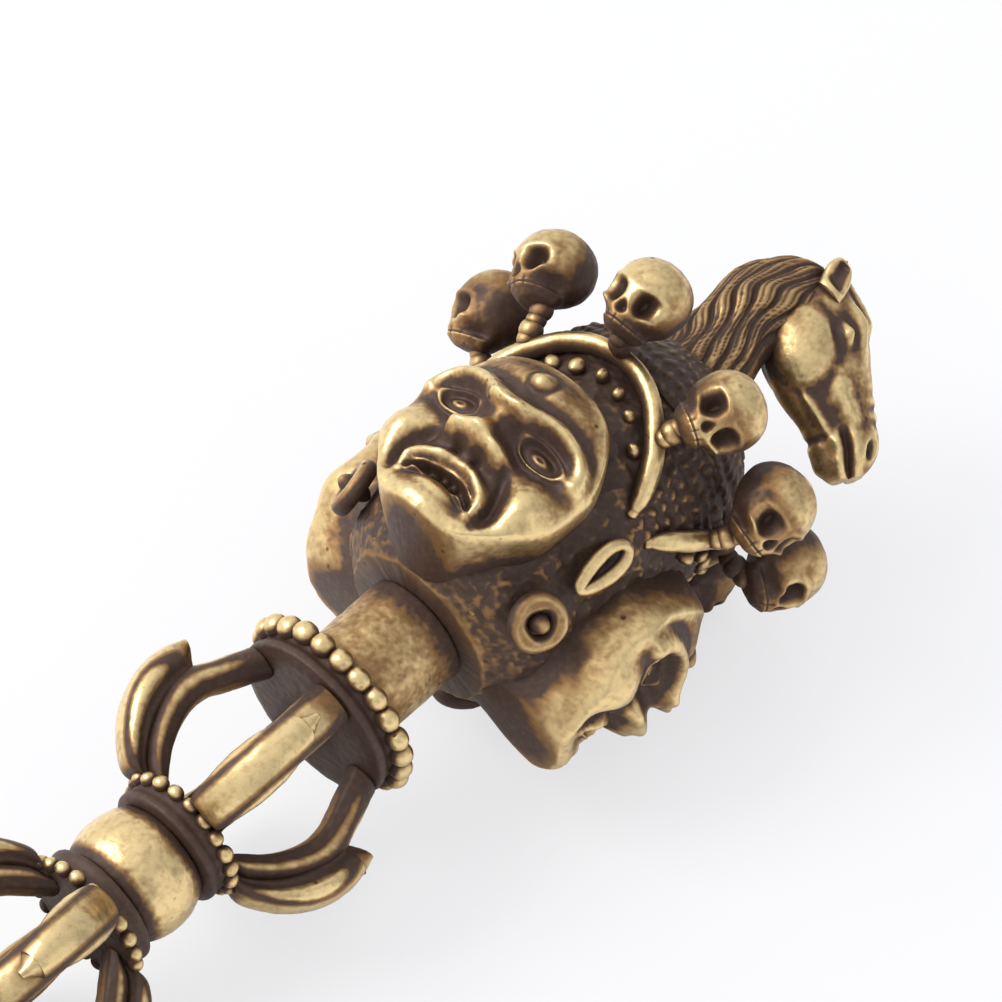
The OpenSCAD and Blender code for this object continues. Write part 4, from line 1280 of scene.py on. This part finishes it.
class DAGGER_OT_collars(bpy.types.Operator):
    """Makes the beaded collars beside the knob and at the ends of both cages."""

    bl_idname = "dagger.collars"
    bl_label = "Beaded collars"

    def execute(self, context):
        knob = (Z_COLLAR, KNOB_COLLAR_R, KNOB_COLLAR_T, SMALL_BEAD_R, SMALL_BEADS)
        rim = (Z_RIM, RIM_COLLAR_R, RIM_COLLAR_T, BIG_BEAD_R, BIG_BEADS)
        for seed, (name, sizes) in enumerate((("knob_collar", knob), ("rim_collar", rim))):
            edge = sizes[1] - 0.3 * sizes[3]

            def inside_beads(p):
                """A collar is darker inside its beads, by a smooth step at their radius."""
                return 0.05 - 1.3 * ramp(edge + 0.25, edge + 0.05, np.hypot(p[:, 0], p[:, 1]))

            upper = beaded_collar(*sizes, seed + 1)
            lower = [flipped(p) for p in beaded_collar(*sizes, seed + 5)]
            cast_piece([name + "_upper"], upper, shift=inside_beads)
            cast_piece([name + "_lower"], lower, shift=inside_beads)
        return {"FINISHED"}


class DAGGER_OT_prongs(bpy.types.Operator):
    """Makes the curved prongs of both cages."""

    bl_idname = "dagger.prongs"
    bl_label = "Prongs"

    def execute(self, context):
        upper = prong()
        lower = [flipped(p) for p in upper]
        for k in range(PRONGS):
            at = PRONG_TURN + k * 360 / PRONGS
            for half, parts in (("upper", upper), ("lower", lower)):
                cast_piece([f"prong_{half}_{k + 1}"], parts, "rubbed",
                           turn=at, rub=0.5, shift=prong_shade_and_tone)
        return {"FINISHED"}


class DAGGER_OT_neck(bpy.types.Operator):
    """Makes the plain round neck under the head."""

    bl_idname = "dagger.neck"
    bl_label = "Neck"

    def execute(self, context):
        high = Z_NECK + NECK_LEN
        neck = lathe([(0, Z_NECK), (NECK_R, Z_NECK), (NECK_R, high), (0, high)], 180, 0.09)
        middle = Z_NECK + NECK_LEN * 0.45

        def by_ends(p):
            """The neck is darker towards its ends, by a smooth step."""
            return -0.24 - 0.4 * ramp(1.2, 3.3, np.abs(p[:, 2] - middle))

        cast_piece(["neck"], [neck], "rubbed", shift=by_ends)
        return {"FINISHED"}


class DAGGER_OT_head(bpy.types.Operator):
    """Makes the head: a core with curls of hair and three masks of a wrathful guardian."""

    bl_idname = "dagger.head"
    bl_label = "Head"

    def execute(self, context):
        def by_foot(p):
            """The core is a little darker towards the neck, by a smooth step."""
            return -0.16 - 0.08 * ramp(2.6, 0.8, p[:, 2] - Z_HEAD)

        cast_piece(["head"], [head_core()], "dark", name="cast_head_core",
                   rub=0.4, shift=by_foot)
        face = mask()
        for k in range(MASKS):
            cast_piece(["head"], [face], name=f"cast_mask_{k + 1}",
                       turn=k * MASK_TURN, rub=0.5, shift=mask_patina_and_shade)
        return {"FINISHED"}


class DAGGER_OT_ears(bpy.types.Operator):
    """Makes the ear loops between the masks and the rings under them."""

    bl_idname = "dagger.ears"
    bl_label = "Ears and rings"

    def execute(self, context):
        for node, parts, shift in (("ear", ear(), 0.0), ("earring", earring(), -0.4)):
            for k in range(MASKS):
                cast_piece([f"{node}_{k + 1}"], parts, turn=(k + 0.5) * MASK_TURN, shift=shift)
        return {"FINISHED"}


class DAGGER_OT_bands(bpy.types.Operator):
    """Makes the arched bands with their pellets over the masks."""

    bl_idname = "dagger.bands"
    bl_label = "Bands"

    def execute(self, context):
        parts = band()
        for k in range(MASKS):
            cast_piece([f"band_{k + 1}"], parts, turn=k * MASK_TURN, shift=0.08)
        return {"FINISHED"}


class DAGGER_OT_skulls(bpy.types.Operator):
    """Makes the nine skulls on their beaded stalks."""

    bl_idname = "dagger.skulls"
    bl_label = "Skulls"

    def execute(self, context):
        for k in range(MASKS):
            for place_no in (-1, 0, 1):
                number = 3 * k + place_no + 2
                at = k * MASK_TURN + place_no * SKULL_STEP
                drift = turned(SKULL_DRIFT.get(number, (0, 0, 0)), -at)
                cast_piece([f"skull_{number}"], skull_on_stalk(place_no, drift),
                           turn=at, rub=0.4, shift=skull_wear)
        return {"FINISHED"}


class DAGGER_OT_crown(bpy.types.Operator):
    """Makes the crown dome inside the skulls."""

    bl_idname = "dagger.crown"
    bl_label = "Crown"

    def execute(self, context):
        cast_piece(["crown"], crown(), "dark", rub=0.3, shift=-0.25)
        return {"FINISHED"}


class DAGGER_OT_horse(bpy.types.Operator):
    """Makes the horse: its neck with the mane, its face and its ears."""

    bl_idname = "dagger.horse"
    bl_label = "Horse"

    def execute(self, context):
        cast_piece(["horse_head"], horse_neck(), name="cast_horse_neck", rub=0, shift=-0.34)
        cast_piece(["horse_head"], horse_face(), name="cast_horse_face", rub=0, shift=-0.02)
        cast_piece(["horse_head"], horse_ears(), name="cast_horse_ears", rub=0)
        return {"FINISHED"}


class DAGGER_OT_boss(bpy.types.Operator):
    """Makes the boss under the grip."""

    bl_idname = "dagger.boss"
    bl_label = "Boss"

    def execute(self, context):
        cast_piece(["boss"], boss())
        return {"FINISHED"}


class DAGGER_OT_beasts(bpy.types.Operator):
    """Makes the three sea-beast heads over the blade."""

    bl_idname = "dagger.beasts"
    bl_label = "Sea beasts"

    def execute(self, context):
        parts = beast()
        for k in range(MASKS):
            cast_piece([f"beast_{k + 1}"], parts, turn=k * MASK_TURN)
        return {"FINISHED"}


class DAGGER_OT_blade(bpy.types.Operator):
    """Makes the three-edged blade."""

    bl_idname = "dagger.blade"
    bl_label = "Blade"

    def execute(self, context):
        cast_piece(["blade"], blade(), "rubbed")
        return {"FINISHED"}


class DAGGER_OT_stage(bpy.types.Operator):
    """Lays out the table, the lamps and the camera."""

    bl_idname = "dagger.stage"
    bl_label = "Stage"

    def execute(self, context):
        studio = context.scene.dagger_studio
        low, turn, roll = map(math.radians, (VIEW_LOW, VIEW_ROUND, ROLL))
        square = math.cos(turn) * SIDE_X + math.sin(turn) * SIDE_Y
        view = unit(math.cos(low) * square - math.sin(low) * AXIS)
        along = unit(AXIS - view * (AXIS @ view))
        across = np.cross(view, along)
        right = math.cos(roll) * along - math.sin(roll) * across
        up = math.sin(roll) * along + math.cos(roll) * across
        aim = KNOB_MIDDLE + (AIM[0] * right + AIM[1] * up) * MM

        bpy.ops.mesh.primitive_grid_add(x_subdivisions=2, y_subdivisions=2, size=6)
        table = context.object
        table.name = "table"
        table.data.materials.append(table_paper(studio.floor))
        context.scene.world = room(view * 0.3 - right * 0.7 + up * 0.6, studio.sky)
        add_lamp("window", aim, view * 0.55 - right * 0.75 + up * 0.55,
                 0.5, 0.3, studio.key, (1.0, 0.98, 0.95))
        add_lamp("reflector", aim, view * 0.7 + right * 0.9 - up * 0.25,
                 0.6, 0.4, studio.key * 0.16, (1.0, 0.97, 0.93))
        add_camera(aim, right, up, view, studio.reach, studio.field)
        context.scene.view_settings.view_transform = "Standard"
        return {"FINISHED"}


MAKERS = (DAGGER_OT_rod, DAGGER_OT_knob, DAGGER_OT_collars, DAGGER_OT_prongs, DAGGER_OT_neck,
          DAGGER_OT_head, DAGGER_OT_ears, DAGGER_OT_bands, DAGGER_OT_skulls, DAGGER_OT_crown,
          DAGGER_OT_horse, DAGGER_OT_boss, DAGGER_OT_beasts, DAGGER_OT_blade, DAGGER_OT_stage)


class DAGGER_PT_panel(bpy.types.Panel):
    """Lists the makers and their settings."""

    bl_idname = "DAGGER_PT_panel"
    bl_label = "Ritual dagger"
    bl_space_type = "VIEW_3D"
    bl_region_type = "UI"
    bl_category = "Dagger"

    def draw(self, context):
        for settings in (context.scene.dagger_finish, context.scene.dagger_studio):
            for name in settings.__annotations__:
                self.layout.prop(settings, name)
        for maker in MAKERS:
            self.layout.operator(maker.bl_idname)


CLASSES = (DaggerFinish, DaggerStudio, *MAKERS, DAGGER_PT_panel)


def register():
    """Makes the settings, the makers and the panel known to Blender."""
    for kind in CLASSES:
        bpy.utils.register_class(kind)
    bpy.types.Scene.dagger_finish = bpy.props.PointerProperty(type=DaggerFinish)
    bpy.types.Scene.dagger_studio = bpy.props.PointerProperty(type=DaggerStudio)


def unregister():
    """Takes them away again."""
    del bpy.types.Scene.dagger_finish
    del bpy.types.Scene.dagger_studio
    for kind in reversed(CLASSES):
        bpy.utils.unregister_class(kind)


def main():
    """Makes every piece and the stage."""
    register()
    for maker in MAKERS:
        family, name = maker.bl_idname.split(".")
        getattr(getattr(bpy.ops, family), name)()


if __name__ == "__main__":
    main()
